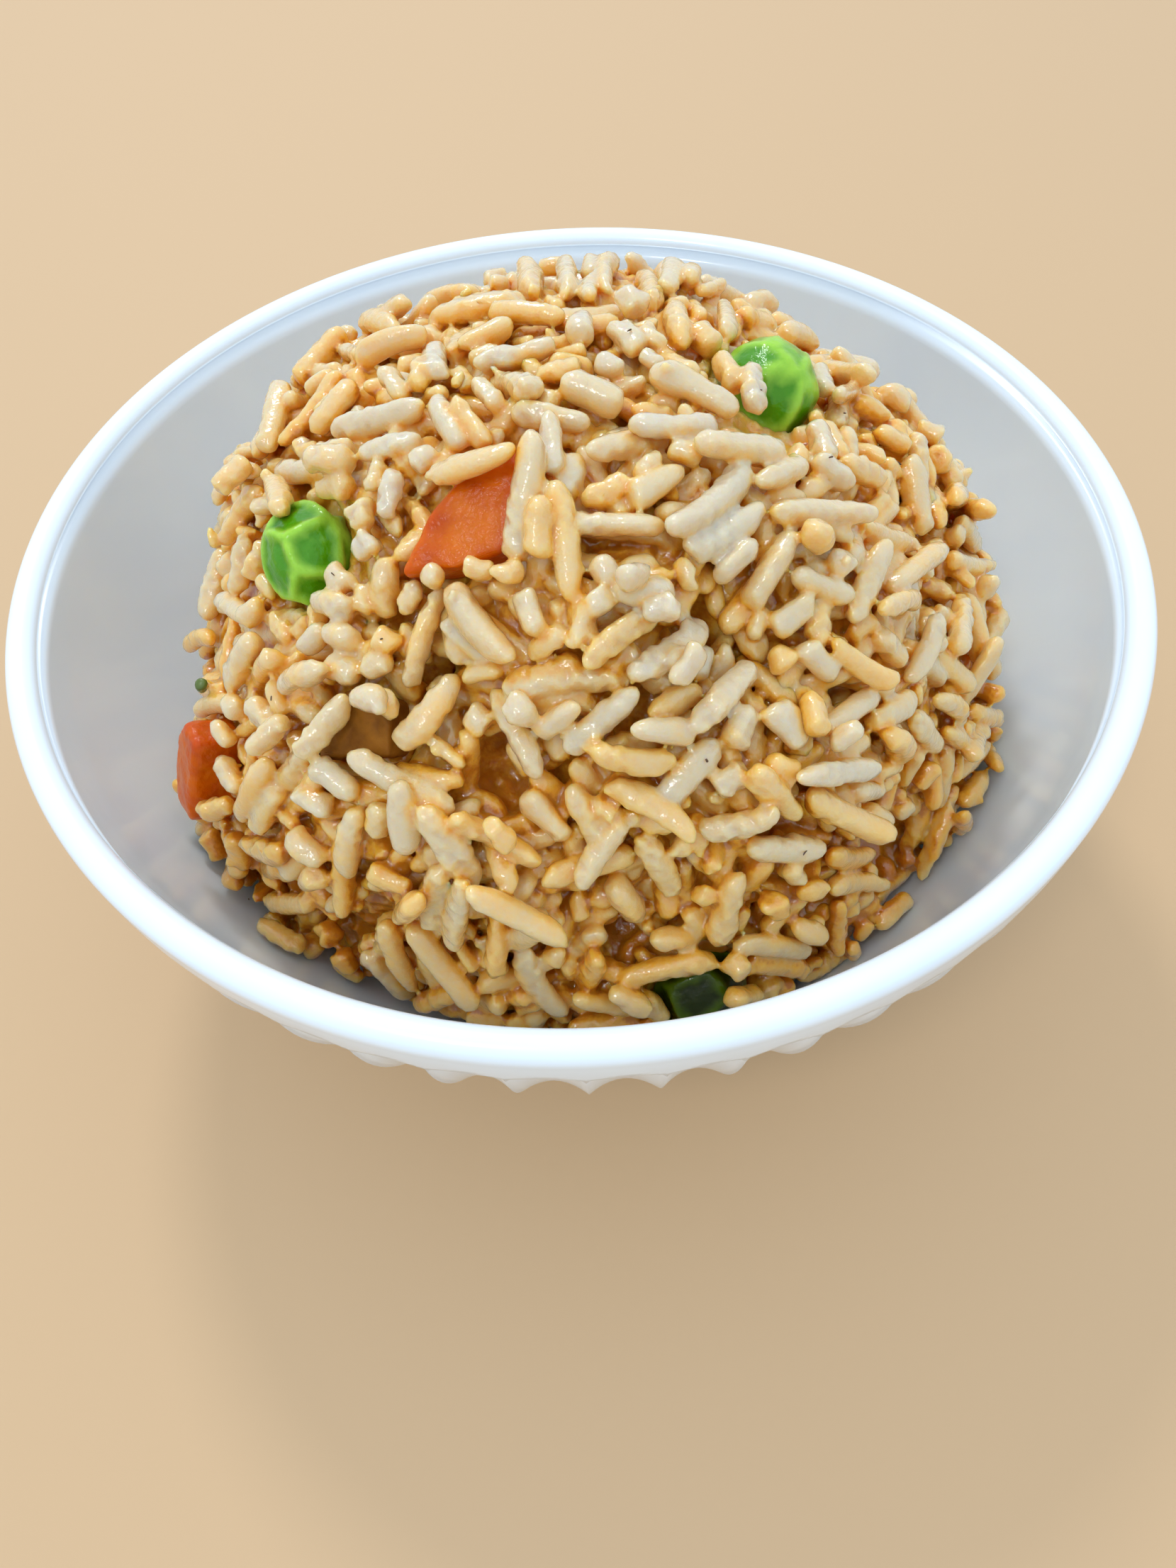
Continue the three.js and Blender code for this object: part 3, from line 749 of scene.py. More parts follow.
class Heap:
    """The grains that lie in the heap so far."""

    def __init__(self, most):
        self.starts = np.zeros((most, 3))
        self.ends = np.zeros((most, 3))
        self.radii = np.zeros(most)
        self.kinds = []
        self.shown = 0

    def add(self, start, end, radius, kind):
        count = len(self.kinds)
        self.starts[count], self.ends[count], self.radii[count] = start, end, radius
        self.kinds.append(kind)

    def near(self, place, reach):
        count = len(self.kinds)
        middles = (self.starts[:count] + self.ends[:count]) / 2
        return np.nonzero(np.abs(middles - place).max(1) < reach)[0]

    def free(self, starts, ends, radius, pressed):
        """Which of several positions of one grain cross no grain that is there already."""
        close = self.near((starts + ends).mean(0) / 2, 12)
        if not len(close):
            return np.ones(len(starts), bool)
        gaps = gap_between(starts[:, None], ends[:, None], self.starts[close], self.ends[close])[0]
        return (gaps >= pressed * (radius + self.radii[close])).all(1)

    def hides_shown(self, start, end, radius):
        """Whether a grain would lie before one of the grains that show, as the camera sees them."""
        (flat_start, flat_end), away = in_picture(np.stack([start, end]))
        shown_starts, start_away = in_picture(self.starts[:self.shown])
        shown_ends, end_away = in_picture(self.ends[:self.shown])
        gaps, share, shown_share = gap_between(flat_start, flat_end, shown_starts, shown_ends)
        own_depth = away[0] + share * (away[1] - away[0])
        shown_depth = start_away + shown_share * (end_away - start_away)
        covers = gaps * own_depth < 0.7 * (radius + self.radii[:self.shown])
        return bool((covers & (own_depth < shown_depth)).any())


def lay_shown_grains(heap):
    """Puts each grain that shows as low as it goes on those below it, on the lines of sight to its ends,
    level or with one end up. One that would be too long keeps its first end and is cut short."""
    tips = [(0, 0), (0.9, 0), (0, 0.9), (1.8, 0), (0, 1.8)]
    heights = [(lift, *tip) for lift in np.arange(LOWEST_SHOWN, HIGHEST_SHOWN, 0.3) for tip in tips]
    for across_1, down_1, across_2, down_2, thickness, kind in SHOWN_GRAINS:
        radius = thickness / 2
        for lift, start_up, end_up in heights:
            start = seen_on_heap(across_1, down_1, lift + start_up)
            end = seen_on_heap(across_2, down_2, lift + end_up)
            if np.linalg.norm(end - start) > LONGEST_GRAIN:
                way = sight_line(across_2, down_2)
                along = (start - CAMERA_PLACE) @ way
                beside = np.linalg.norm(start - CAMERA_PLACE - along * way)
                left_over = math.sqrt(max(0, LONGEST_GRAIN**2 - beside**2))
                side = -1 if (end - start) @ way < 0 else 1
                end = CAMERA_PLACE + way * (along + side * left_over)
            length = max(np.linalg.norm(end - start), 1e-6)
            inset = (end - start) / length * min(radius * 0.6, 0.3 * length)
            inner_start, inner_end = start + inset, end - inset
            if touches_topping(inner_start, inner_end, radius) or behind_topping(inner_start, inner_end):
                continue
            if heap.free(inner_start[None], inner_end[None], radius, PRESSED_TOGETHER)[0]:
                break
        else:
            continue
        heap.add(inner_start, inner_end, radius, kind)
    heap.shown = len(heap.kinds)


def lay_filling_grains(heap, places_tried, thicknesses, lengths, heights, pressed, kinds):
    """Puts grains all over the heap, each as low as it goes in the best of a few random turns, between
    two heights over the heap's plain surface."""
    rounds, turns_tried = 4, 7
    golden_turn = math.pi * (3 - math.sqrt(5))
    lowest = math.sin(math.radians(FILLED_FROM))
    lean_flank = direction(*LEAN_FLANK)
    for i in range(places_tried):
        share = (rounds * i / places_tried) % 1
        up = math.asin(1 - (1 - lowest) * share)
        around = i * golden_turn + draws.uniform(-0.02, 0.02)
        towards = np.array([math.cos(around) * math.cos(up), math.sin(around) * math.cos(up), math.sin(up)])
        if gap_depth(towards)[0] > FREE_GAP:
            continue
        reach = heap_reach(towards)[0]
        radius = draws.uniform(*thicknesses) / 2
        kind = draws.choice(kinds)
        length = draws.uniform(*(BROKEN_LENGTHS if kind == "broken" else lengths))
        half = max(length / 2 - 0.6 * radius, 0.4)
        from_flank = math.degrees(math.acos(np.clip(towards @ lean_flank, -1, 1)))
        highest = heights[1] + 1.2 * noise.noise(Vector(towards * 9))
        highest -= LEAN_DEPTH * max(0, 1 - from_flank / LEAN_WIDTH)
        rises = np.arange(heights[0], max(highest, heights[0] + 0.3), 0.25)
        best = None
        level = np.cross(towards, [0, 0, 1.0])
        level /= np.linalg.norm(level)
        across = np.cross(towards, level)
        for _ in range(turns_tried):
            turn = draws.uniform(0, 2 * math.pi)
            lean = math.radians(STEEPEST_LEAN) * draws.random() ** 2
            flat = math.cos(turn) * level + math.sin(turn) * across
            along = flat * math.cos(lean) + towards * math.sin(lean)
            middles = HEAP_CENTRE + towards * (reach + rises)[:, None]
            starts, ends = middles - half * along, middles + half * along
            free = np.nonzero(heap.free(starts, ends, radius, pressed))[0]
            if not len(free) or (best is not None and free[0] >= best[0]):
                continue
            start, end = starts[free[0]], ends[free[0]]
            if height_over_heap(np.stack([start, end])).max() > highest + 1.6:
                continue
            if not fits_bowl(start, end, radius) or touches_topping(start, end, radius):
                continue
            along_ways = stretch_points(start, end) - HEAP_CENTRE
            if gap_depth(along_ways / np.linalg.norm(along_ways, axis=1)[:, None]).max() > BRIDGED_GAP:
                continue
            if heap.hides_shown(start, end, radius) or hides_topping(start, end, radius):
                continue
            best = (free[0], start, end)
        if best is None:
            continue
        heap.add(best[1], best[2], radius, kind)


# Grains: how blunt their ends are, how many are cut across, how slanting and how bent.
BLUNTNESS = (3.2, 6.5)
CUT_BLUNTNESS = 9
CUT_SHARE = 0.16
END_SLANT = 0.45
MOST_BEND = 0.1
# Lumps on a grain: their sizes, and their heights as shares of its radius.
GRAIN_LUMPS = ((3.2, 0.03), (1.7, 0.025), (1.0, 0.015))


def lumps_on(local):
    """Heights of the small lumps at each place on the skins of many grains."""
    count = len(local)
    lumps = np.zeros(local.shape[:-1])
    for size, height in GRAIN_LUMPS:
        for _ in range(3):
            wave = draws.normal(size=(count, 3))
            wave_length = size * draws.uniform(0.8, 1.25, count)
            wave *= (2 * np.pi / wave_length / np.linalg.norm(wave, axis=1))[:, None]
            phase = draws.uniform(0, 2 * np.pi, count)
            lumps += height * np.sin(np.einsum("gxyc,gc->gxy", local, wave) + phase[:, None, None])
    return lumps


def grain_points(starts, ends, radii, rings, sides, ragged):
    """The skins of many grains at once: (grain, ring, side, xyz), and the two tips of each."""
    count = len(radii)
    half = np.linalg.norm(ends - starts, axis=1) / 2 + 0.62 * radii
    axis = (ends - starts) / np.maximum(np.linalg.norm(ends - starts, axis=1), 1e-9)[:, None]
    middle = (starts + ends) / 2
    helper = draws.normal(size=(count, 3))
    side_1 = np.cross(axis, helper)
    side_1 /= np.linalg.norm(side_1, axis=1)[:, None]
    side_2 = np.cross(axis, side_1)
    t = -np.cos(np.pi * (np.arange(rings) + 0.55) / (rings + 0.1))
    blunt = draws.uniform(*BLUNTNESS, (count, 2))
    cut = draws.random((count, 2)) < CUT_SHARE
    blunt[cut] = CUT_BLUNTNESS
    power = np.where(t[None] < 0, blunt[:, :1], blunt[:, 1:])
    profile = (1 - np.abs(t[None]) ** power) ** 0.52
    swell = 1 + 0.10 * draws.normal(size=(count, 1)) * t
    swell = swell + 0.05 * np.cos(3.1 * t[None] + draws.uniform(0, 6, (count, 1)))
    turn = 2 * np.pi * np.arange(sides) / sides
    flat = draws.uniform(0.78, 0.98, count)
    groove = 1 + 0.045 * np.cos(3 * turn[None] + draws.uniform(0, 6, (count, 1)))
    ring_radius = 0.97 * radii[:, None] * profile * swell
    y = ring_radius[:, :, None] * np.cos(turn) * groove[:, None]
    z = ring_radius[:, :, None] * np.sin(turn) * groove[:, None] * flat[:, None, None]
    slant = draws.uniform(-END_SLANT, END_SLANT, (count, 2))
    end_slant = np.where(t[None] < 0, slant[:, :1], slant[:, 1:]) * np.abs(t[None]) ** 4
    x = t[None, :, None] * half[:, None, None] + end_slant[:, :, None] * y
    bend = draws.uniform(-MOST_BEND, MOST_BEND, count) * half * 2
    bow = (bend[:, None] * (1 - t[None] ** 2))[:, :, None]
    out = np.stack([np.zeros(y.shape), y, z], -1)
    local = np.stack([x, y + bow, z], -1)
    rough = ragged[:, None, None] * (0.6 + 1.6 * np.abs(t[None, :, None]) ** 3)
    local += out * (lumps_on(local) * rough)[..., None]
    tips = np.zeros((count, 2, 3))
    tips[:, 0, 0], tips[:, 1, 0] = -half, half
    frame_axes = np.stack([axis, side_1, side_2], 1)
    skin = np.einsum("gxyc,gcd->gxyd", local, frame_axes) + middle[:, None, None]
    tips = np.einsum("gtc,gcd->gtd", tips, frame_axes) + middle[:, None]
    return skin, tips


def grain_mesh(starts, ends, radii, rings, sides, ragged):
    """Corners of the skins of many grains, the corners of each face one after the other, and how many
    corners each face has."""
    skin, tips = grain_points(starts, ends, radii, rings, sides, ragged)
    count = len(radii)
    one = rings * sides + 2
    points = np.concatenate([skin.reshape(count, rings * sides, 3), tips], 1).reshape(-1, 3)
    ring, side = np.meshgrid(np.arange(rings - 1), np.arange(sides), indexing="ij")
    after = (side + 1) % sides
    quads = np.stack([
        ring * sides + side, ring * sides + after, (ring + 1) * sides + after, (ring + 1) * sides + side,
    ], -1).reshape(-1, 4)
    side = np.arange(sides)
    after = (side + 1) % sides
    low_tip, high_tip = np.full(sides, rings * sides), np.full(sides, rings * sides + 1)
    last = (rings - 1) * sides
    low_cap = np.stack([low_tip, after, side], 1)
    high_cap = np.stack([high_tip, last + side, last + after], 1)
    caps = np.concatenate([low_cap, high_cap])
    shift = (np.arange(count) * one)[:, None, None]
    corners = np.concatenate([(quads[None] + shift).reshape(-1), (caps[None] + shift).reshape(-1)])
    sizes = np.concatenate([np.full(count * len(quads), 4), np.full(count * len(caps), 3)])
    return points, corners, sizes


def mesh_object(name, points, corners, sizes):
    """A smooth mesh object from corner places in millimetres and the corners of each face in turn."""
    mesh = bpy.data.meshes.new(name)
    mesh.vertices.add(len(points))
    mesh.vertices.foreach_set("co", (points * MM).astype(np.float32).ravel())
    mesh.loops.add(len(corners))
    mesh.loops.foreach_set("vertex_index", corners.astype(np.int32))
    mesh.polygons.add(len(sizes))
    mesh.polygons.foreach_set("loop_start", np.concatenate([[0], np.cumsum(sizes)[:-1]]).astype(np.int32))
    mesh.update(calc_edges=True)
    mesh.validate()
    mesh.shade_smooth()
    piece = bpy.data.objects.new(name, mesh)
    bpy.context.collection.objects.link(piece)
    return piece


def joined(parts):
    """Several meshes, each of points, corners and face sizes, as one."""
    starts = np.cumsum([0] + [len(points) for points, _, _ in parts[:-1]])
    return (
        np.concatenate([points for points, _, _ in parts]),
        np.concatenate([corners + start for (_, corners, _), start in zip(parts, starts)]),
        np.concatenate([sizes for _, _, sizes in parts]),
    )


heap = Heap(MOST_GRAINS)
lay_shown_grains(heap)
whole_kinds = ["pale", "pale", "cream", "cream", "amber", "amber", "broken"]
lay_filling_grains(heap, 8000, (2.0, 2.5), (6.2, 8.6), (-2.0, 1.2), 0.73, whole_kinds)
filled = len(heap.kinds)
lay_filling_grains(heap, 3500, (1.8, 2.3), (4.5, 7.5), (-3.2, -1.2), 0.45, ["amber", "amber", "cream"])
pressed_in = len(heap.kinds)
lay_filling_grains(heap, 6000, (1.4, 2.1), (2.2, 4.4), (-2.0, 0.1), 0.7, ["bit"])


CRUMB_RADII = (0.3, 0.6)
CRUMB_HALF_LENGTHS = (0.1, 0.9)
LOWEST_CRUMB = -1
HIGHEST_CRUMB = 2.4


def lay_crumbs(heap, tries):
    """Small broken bits stick to the outer side of the grains."""
    whole = len(heap.kinds)
    for _ in range(tries):
        on = draws.integers(whole)
        start, end = heap.starts[on], heap.ends[on]
        place = start + draws.random() * (end - start)
        out = (place - HEAP_CENTRE) / np.linalg.norm(place - HEAP_CENTRE) + draws.normal(size=3) * 0.45
        out /= np.linalg.norm(out)
        radius = draws.uniform(*CRUMB_RADII)
        place = place + out * (heap.radii[on] - 0.1 * radius)
        way = draws.normal(size=3)
        way *= draws.uniform(*CRUMB_HALF_LENGTHS) / np.linalg.norm(way)
        if not LOWEST_CRUMB < height_over_heap(place)[0] < HIGHEST_CRUMB:
            continue
        start, end = place - way, place + way
        if touches_topping(start, end, radius) or hides_topping(start, end, radius):
            continue
        if fits_bowl(start, end, radius) and heap.free(start[None], end[None], radius, 0.5)[0]:
            heap.add(start, end, radius, "bit")


whole_grains = len(heap.kinds)
lay_crumbs(heap, 400)

# ---------------------------------------------------------------------------------------------------
# The rice sticks together: starch and broken rice soaked with soy sauce lie under the grains, and each
# grain melts a little into its neighbours where they touch. So the grains of each side of the heap are
# fused into one skin with the sticky rice under them.
# ---------------------------------------------------------------------------------------------------
# The sides: where the middle of each lies, in degrees from +X towards +Y, and the triangles of its skin.
SIDES = {
    "front": (-90, 170000), "front_right": (-30, 150000), "back_right": (30, 115000),
    "back": (90, 110000), "back_left": (150, 115000), "front_left": (210, 150000),
}
SIDE_WIDTH = 60
# The sticky mass: rows and columns on a side, the degrees below the heap's middle from which on it is
# finely made, how far it rises over the grains' bed, and its lumps: heights, and how close they lie.
MASS_ROWS = 110
MASS_COLUMNS = 64
MASS_LOWEST = -22
MASS_OVER_BED = 0.8
MASS_LUMPS = ((0.7, 16), (0.6, 34), (0.3, 66))
# The skin of a side: how fine it is, how deep it is kept, which is just past the core's surface, and how
# far below the heap's middle, in degrees.
SKIN_DETAIL = 0.25
SKIN_DEPTH = 9
SKIN_LOWEST = -30
CORE_DEPTH = 8
# Small bumps on the fused skin: their height, and their sizes with the share of each.
TORN_DEPTH = 0.05
TORN_SIZES = ((1.9, 1.0), (1.2, 0.9), (0.85, 0.7))


def ways_at(ups, turns):
    """Directions at each pair of an angle up and one round, row by row."""
    up, turn = np.meshgrid(ups, turns, indexing="ij")
    return np.stack([np.cos(up) * np.cos(turn), np.cos(up) * np.sin(turn), np.sin(up)], -1).reshape(-1, 3)


def kept_in_bowl(places):
    """Places on the heap, moved in where they would cross the bowl's floor or wall."""
    places[:, 2] = np.maximum(places[:, 2], BOWL_HEIGHT - INSIDE_DEPTH + FLOOR_GAP)
    flat = np.hypot(places[:, 0], places[:, 1])
    room = wall_radius(places[:, 2] - 0.2) - WALL_GAP
    places[:, :2] *= np.minimum(1, room / np.maximum(flat, 1e-6))[:, None]
    return places


def mass_height(ways):
    """How far the sticky mass reaches in each direction."""
    lumpy = np.array([
        sum(size * noise.noise(Vector(way * often)) for size, often in MASS_LUMPS)
        for way in ways
    ])
    height = heap_reach(ways) - GRAINS_LIE_DEEP + MASS_OVER_BED + lumpy - gap_depth(ways)
    for _, middle, size in topping_skins:
        out = middle - HEAP_CENTRE
        far = np.linalg.norm(out)
        away = np.degrees(np.arccos(np.clip(ways @ out / far, -1, 1)))
        beside = np.maximum(away - np.degrees(size / far), 0)
        height = np.minimum(height, far - 0.4 + 0.6 * beside)
    return height


def mass_wedge(middle_degrees):
    """The sticky mass on one side of the heap: a wedge from the heap's upright axis out to its surface."""
    ups = np.radians(np.concatenate([[-75, -60, -45, -32], np.linspace(MASS_LOWEST, 89.3, MASS_ROWS)]))
    turns = np.radians(middle_degrees + SIDE_WIDTH * np.linspace(-0.5, 0.5, MASS_COLUMNS))
    ways = np.vstack([ways_at(ups, turns), [0, 0, -1], [0, 0, 1]])
    places = kept_in_bowl(HEAP_CENTRE + ways * mass_height(ways)[:, None])
    places = np.vstack([places, HEAP_CENTRE])
    rows = len(ups)
    bottom, top, centre = rows * MASS_COLUMNS, rows * MASS_COLUMNS + 1, rows * MASS_COLUMNS + 2
    quads, thirds = [], []
    for row in range(rows - 1):
        for column in range(MASS_COLUMNS - 1):
            a = row * MASS_COLUMNS + column
            quads.append((a, a + 1, a + 1 + MASS_COLUMNS, a + MASS_COLUMNS))
    last = (rows - 1) * MASS_COLUMNS
    for column in range(MASS_COLUMNS - 1):
        thirds.append((bottom, column + 1, column))
        thirds.append((top, last + column, last + column + 1))
    for column, turned in ((0, 1), (MASS_COLUMNS - 1, -1)):
        edge = [bottom, *(row * MASS_COLUMNS + column for row in range(rows)), top]
        thirds += [(centre, low, high)[::turned] for low, high in zip(edge, edge[1:])]
    corners = np.concatenate([np.array(quads).ravel(), np.array(thirds).ravel()])
    return places, corners, np.array([4] * len(quads) + [3] * len(thirds))


def side_of(places):
    """Which side of the heap places lie on."""
    out = places - HEAP_CENTRE
    turn = np.degrees(np.arctan2(out[:, 1], out[:, 0]))
    return np.round((turn + 90) / SIDE_WIDTH).astype(int) % len(SIDES)


def outer_skin(points, normals, edges):
    """Marks the points of every part but the closed air bubbles, whose skins face inwards. Points that
    hang together get one label."""
    label = np.arange(len(points))
    while True:
        lower = np.minimum(label[edges[:, 0]], label[edges[:, 1]])
        fresh = label.copy()
        np.minimum.at(fresh, label[edges[:, 0]], lower)
        np.minimum.at(fresh, label[edges[:, 1]], lower)
        fresh = fresh[fresh]
        if (fresh == label).all():
            break
        label = fresh
    part = np.unique(label, return_inverse=True)[1]
    counts = np.bincount(part)
    middles = np.stack([np.bincount(part, points[:, i]) / counts for i in range(3)], 1)
    outward = np.bincount(part, ((points - middles[part]) * normals).sum(1))
    return (outward > 0)[part]


def corner_values(mesh, name):
    """The places or the normals of a mesh's corners."""
    values = np.zeros(len(mesh.vertices) * 3, np.float32)
    mesh.vertices.foreach_get(name, values)
    return values.reshape(-1, 3).astype(float)


def fused(name, points, corners, sizes):
    """One skin round overlapping closed shapes, without what lies in the core."""
    rough = mesh_object(name + "_parts", points, corners, sizes)
    skin = rough.modifiers.new("skin", "REMESH")
    skin.mode = "VOXEL"
    skin.voxel_size = SKIN_DETAIL * MM
    seen = rough.evaluated_get(bpy.context.evaluated_depsgraph_get())
    mesh = bpy.data.meshes.new_from_object(seen)
    bpy.data.objects.remove(rough)
    edges = np.zeros(len(mesh.edges) * 2, np.int32)
    mesh.edges.foreach_get("vertices", edges)
    places = corner_values(mesh, "co") / MM
    out = places - HEAP_CENTRE
    up = np.degrees(np.arcsin(out[:, 2] / np.maximum(np.linalg.norm(out, axis=1), 1e-6)))
    keep = outer_skin(places, corner_values(mesh, "normal"), edges.reshape(-1, 2))
    keep &= (height_over_heap(places) > -SKIN_DEPTH) & (up > SKIN_LOWEST)
    shape = bmesh.new()
    shape.from_mesh(mesh)
    shape.verts.ensure_lookup_table()
    bmesh.ops.delete(shape, geom=[shape.verts[i] for i in np.nonzero(~keep)[0]], context="VERTS")
    shape.to_mesh(mesh)
    shape.free()
    mesh.name = name
    mesh.shade_smooth()
    piece = bpy.data.objects.new(name, mesh)
    bpy.context.collection.objects.link(piece)
    return piece


def tear(piece):
    """Makes the grains' skins crumbly: small uneven bumps along the surface's own direction."""
    places = corner_values(piece.data, "co") / MM
    rough = np.zeros(len(places))
    for size, depth in TORN_SIZES:
        for _ in range(5):
            wave = draws.normal(size=3)
            wave *= 2 * np.pi / (size * draws.uniform(0.8, 1.25) * np.linalg.norm(wave))
            rough += depth * np.sin(places @ wave + draws.uniform(0, 6)) / 2.2
    patch = np.array([noise.noise(Vector(place * 0.22)) for place in places])
    depth = TORN_DEPTH * np.clip(0.7 + 1.8 * patch, 0.25, 1.8)
    places += corner_values(piece.data, "normal") * (rough * depth)[:, None]
    piece.data.vertices.foreach_set("co", (places * MM).astype(np.float32).ravel())


def thinned(piece, triangles):
    """Larger triangles where a skin is flat, and as fine as before in its joints."""
    count = len(piece.data.loops) - 2 * len(piece.data.polygons)
    thin = piece.modifiers.new("thin", "DECIMATE")
    thin.ratio = min(1, triangles / count)
    mesh = bpy.data.meshes.new_from_object(piece.evaluated_get(bpy.context.evaluated_depsgraph_get()))
    piece.modifiers.clear()
    piece.data = mesh
    mesh.name = piece.name
    mesh.shade_smooth()


# How brown each kind of grain is, and by how much single grains differ.
BROWN_KINDS = {"pale": 0.02, "cream": 0.16, "amber": 0.38, "broken": 0.16, "bit": 0.24}
BROWN_SPREAD = 0.14
# The sticky mass is this brown, where no grain lies nearer than this distance.
MASS_BROWN = 0.5
MASS_DISTANCE = 0.35
BLEND_WIDTH = 0.12
# How close a second grain lies for the painted shade of a joint.
JOINT_WIDTH = 0.3
# How much browner the grains' flanks and joints are, as painted shade, and what lies deep and what lies
# low, as sauce soaked in and painted shade.
FLANK_SHADE, JOINT_SHADE, DEEP_SAUCE_AND_SHADE, LOW_SAUCE_AND_SHADE = 0.3, 0.45, 0.42, 0.62


def mark_browning_and_shade(piece, browning):
    """Writes how brown each corner is: by its nearest grains, with painted shade on the flanks and in the
    joints, and sauce with painted shade deep down and low.
    """
    places = corner_values(piece.data, "co") / MM
    cell = 4.0
    cells = np.floor(places / cell).astype(int)
    order = np.lexsort(cells.T)
    sorted_cells = cells[order]
    breaks = np.nonzero(np.any(np.diff(sorted_cells, axis=0) != 0, axis=1))[0] + 1
    lists = dict(zip(
        map(tuple, sorted_cells[np.concatenate([[0], breaks])].tolist()), np.split(order, breaks)
    ))
    mass_weight = math.exp(-MASS_DISTANCE / BLEND_WIDTH)
    total = np.full(len(places), MASS_BROWN * mass_weight)
    weight = np.full(len(places), mass_weight)
    nearest = np.full(len(places), 9.0)
    second = np.full(len(places), 9.0)
    for start, end, radius, brown in zip(heap.starts, heap.ends, heap.radii[:whole_grains], browning):
        low = np.floor((np.minimum(start, end) - radius - 1) / cell).astype(int)
        high = np.floor((np.maximum(start, end) + radius + 1) / cell).astype(int)
        near = [
            lists[(i, j, k)]
            for i in range(low[0], high[0] + 1)
            for j in range(low[1], high[1] + 1)
            for k in range(low[2], high[2] + 1)
            if (i, j, k) in lists
        ]
        if not near:
            continue
        near = np.concatenate(near)
        way = end - start
        share = np.clip((places[near] - start) @ way / max(way @ way, 1e-9), 0, 1)
        gap = np.linalg.norm(places[near] - start - share[:, None] * way, axis=1) - radius
        close = gap < 1.5
        near, gap = near[close], np.maximum(gap[close], 0)
        part = np.exp(-gap / BLEND_WIDTH)
        total[near] += part * brown
        weight[near] += part
        second[near] = np.minimum(second[near], np.maximum(gap, nearest[near]))
        nearest[near] = np.minimum(nearest[near], gap)
    # Painted shade: darker and more amber on the flanks that face away from the heap's outside and in the
    # joints between grains; deep down and low, sauce soaked in and painted shade.
    out = places - HEAP_CENTRE
    upward = (corner_values(piece.data, "normal") * out).sum(1) / np.linalg.norm(out, axis=1)
    flank = 1 - np.clip(upward, 0, 1)
    joint = np.exp(-second / JOINT_WIDTH)
    below = np.clip((1.6 - height_over_heap(places)) / 4.6, 0, 1)
    low = np.clip((66 - places[:, 2]) / 75, 0, 0.5)
    amount = total / weight + FLANK_SHADE * flank + JOINT_SHADE * joint
    amount += DEEP_SAUCE_AND_SHADE * below + LOW_SAUCE_AND_SHADE * low
    browned = piece.data.attributes.new("browned", "FLOAT", "POINT")
    browned.data.foreach_set("value", amount.astype(np.float32))


def cooked_rice():
    """Cooked rice lets light through and glitters with tiny wet bumps; soy sauce makes it amber, and its
    tint also carries painted shade on the flanks, in the joints, deep down and low.
    """
    rice_skin = Finish("cooked_rice", {
        "Roughness": 0.3, "IOR": 1.42, "Subsurface Weight": 1.0, "Subsurface Radius": (1.0, 0.65, 0.3),
        "Subsurface Scale": 0.0019, "Coat Weight": 1.0, "Coat IOR": 1.5, "Coat Roughness": 0.15,
    })
    amount = rice_skin.added(rice_skin.cloud(330, 3), 0.4, rice_skin.marked("browned"))
    amount = rice_skin.added(rice_skin.cloud(2400), 0.3, amount)
    amount = rice_skin.node("ShaderNodeMath", {0: amount, 1: 0.85}, operation="MULTIPLY").outputs[0]
    # The ramp goes from pale to dark amber with the browning and the painted shade.
    rice_skin.tint(amount, [
        (0.0, (0.62, 0.55, 0.42)), (0.28, (0.68, 0.535, 0.31)), (0.55, (0.78, 0.50, 0.16)),
        (0.85, (0.82, 0.395, 0.033)), (1.0, (0.58, 0.2, 0.008)),
    ])
    lumps = rice_skin.bump(rice_skin.cloud(1100), 0.5, 0.0002, [])
    rice_skin.bump(rice_skin.cloud(3200), 0.5, 0.00012, ["Normal"], under=lumps)
    rice_skin.bump(rice_skin.cloud(1900, 1), 0.4, 0.0002, ["Coat Normal"])
    return rice_skin.material


def make_core():
    """The inside of the heap, down to the bowl's floor."""
    ups = np.radians(np.linspace(-88, 88, 45))
    turns = np.radians(np.arange(0, 360, 5))
    ways = ways_at(ups, turns)
    places = kept_in_bowl(HEAP_CENTRE + ways * (heap_reach(ways) - CORE_DEPTH)[:, None])
    rows, columns = len(ups), len(turns)
    faces = [tuple(range(columns))[::-1], tuple((rows - 1) * columns + column for column in range(columns))]
    for row in range(rows - 1):
        for column in range(columns):
            after = (column + 1) % columns
            a, b = row * columns + column, row * columns + after
            faces.append((a, b, b + columns, a + columns))
    return make_object("rice_core", places, faces)


browning = np.array([BROWN_KINDS[kind] for kind in heap.kinds])
browning += draws.uniform(0, BROWN_SPREAD, len(heap.kinds))
finished_rice = cooked_rice()
core = make_core()
mark_browning_and_shade(core, browning)
core.data.materials.append(finished_rice)
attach(core, "root")
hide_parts("fried_rice")
order = np.arange(len(heap.kinds))
sides = side_of((heap.starts[order] + heap.ends[order]) / 2)
# Each lot of grains has its own fineness: rings along a grain and corners round it.
lots = [(0, heap.shown, 28, 22), (heap.shown, filled, 20, 16), (filled, pressed_in, 16, 12)]
lots.append((pressed_in, len(order), 12, 10))
for number, (side, (middle_degrees, triangles)) in enumerate(SIDES.items()):
    parts = [mass_wedge(middle_degrees)]
    for first, past, rings, turns in lots:
        chosen = order[(sides == number) & (order >= first) & (order < past)]
        ragged = draws.uniform(0.5, 1.4, len(chosen)) ** 1.3
        if len(chosen):
            parts.append(grain_mesh(
                heap.starts[chosen], heap.ends[chosen], heap.radii[chosen], rings, turns, ragged
            ))
    rice = fused("rice_" + side, *joined(parts))
    tear(rice)
    thinned(rice, triangles)
    mark_browning_and_shade(rice, browning)
    rice.data.materials.append(finished_rice)
    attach(rice, "root")
    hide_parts("fried_rice")

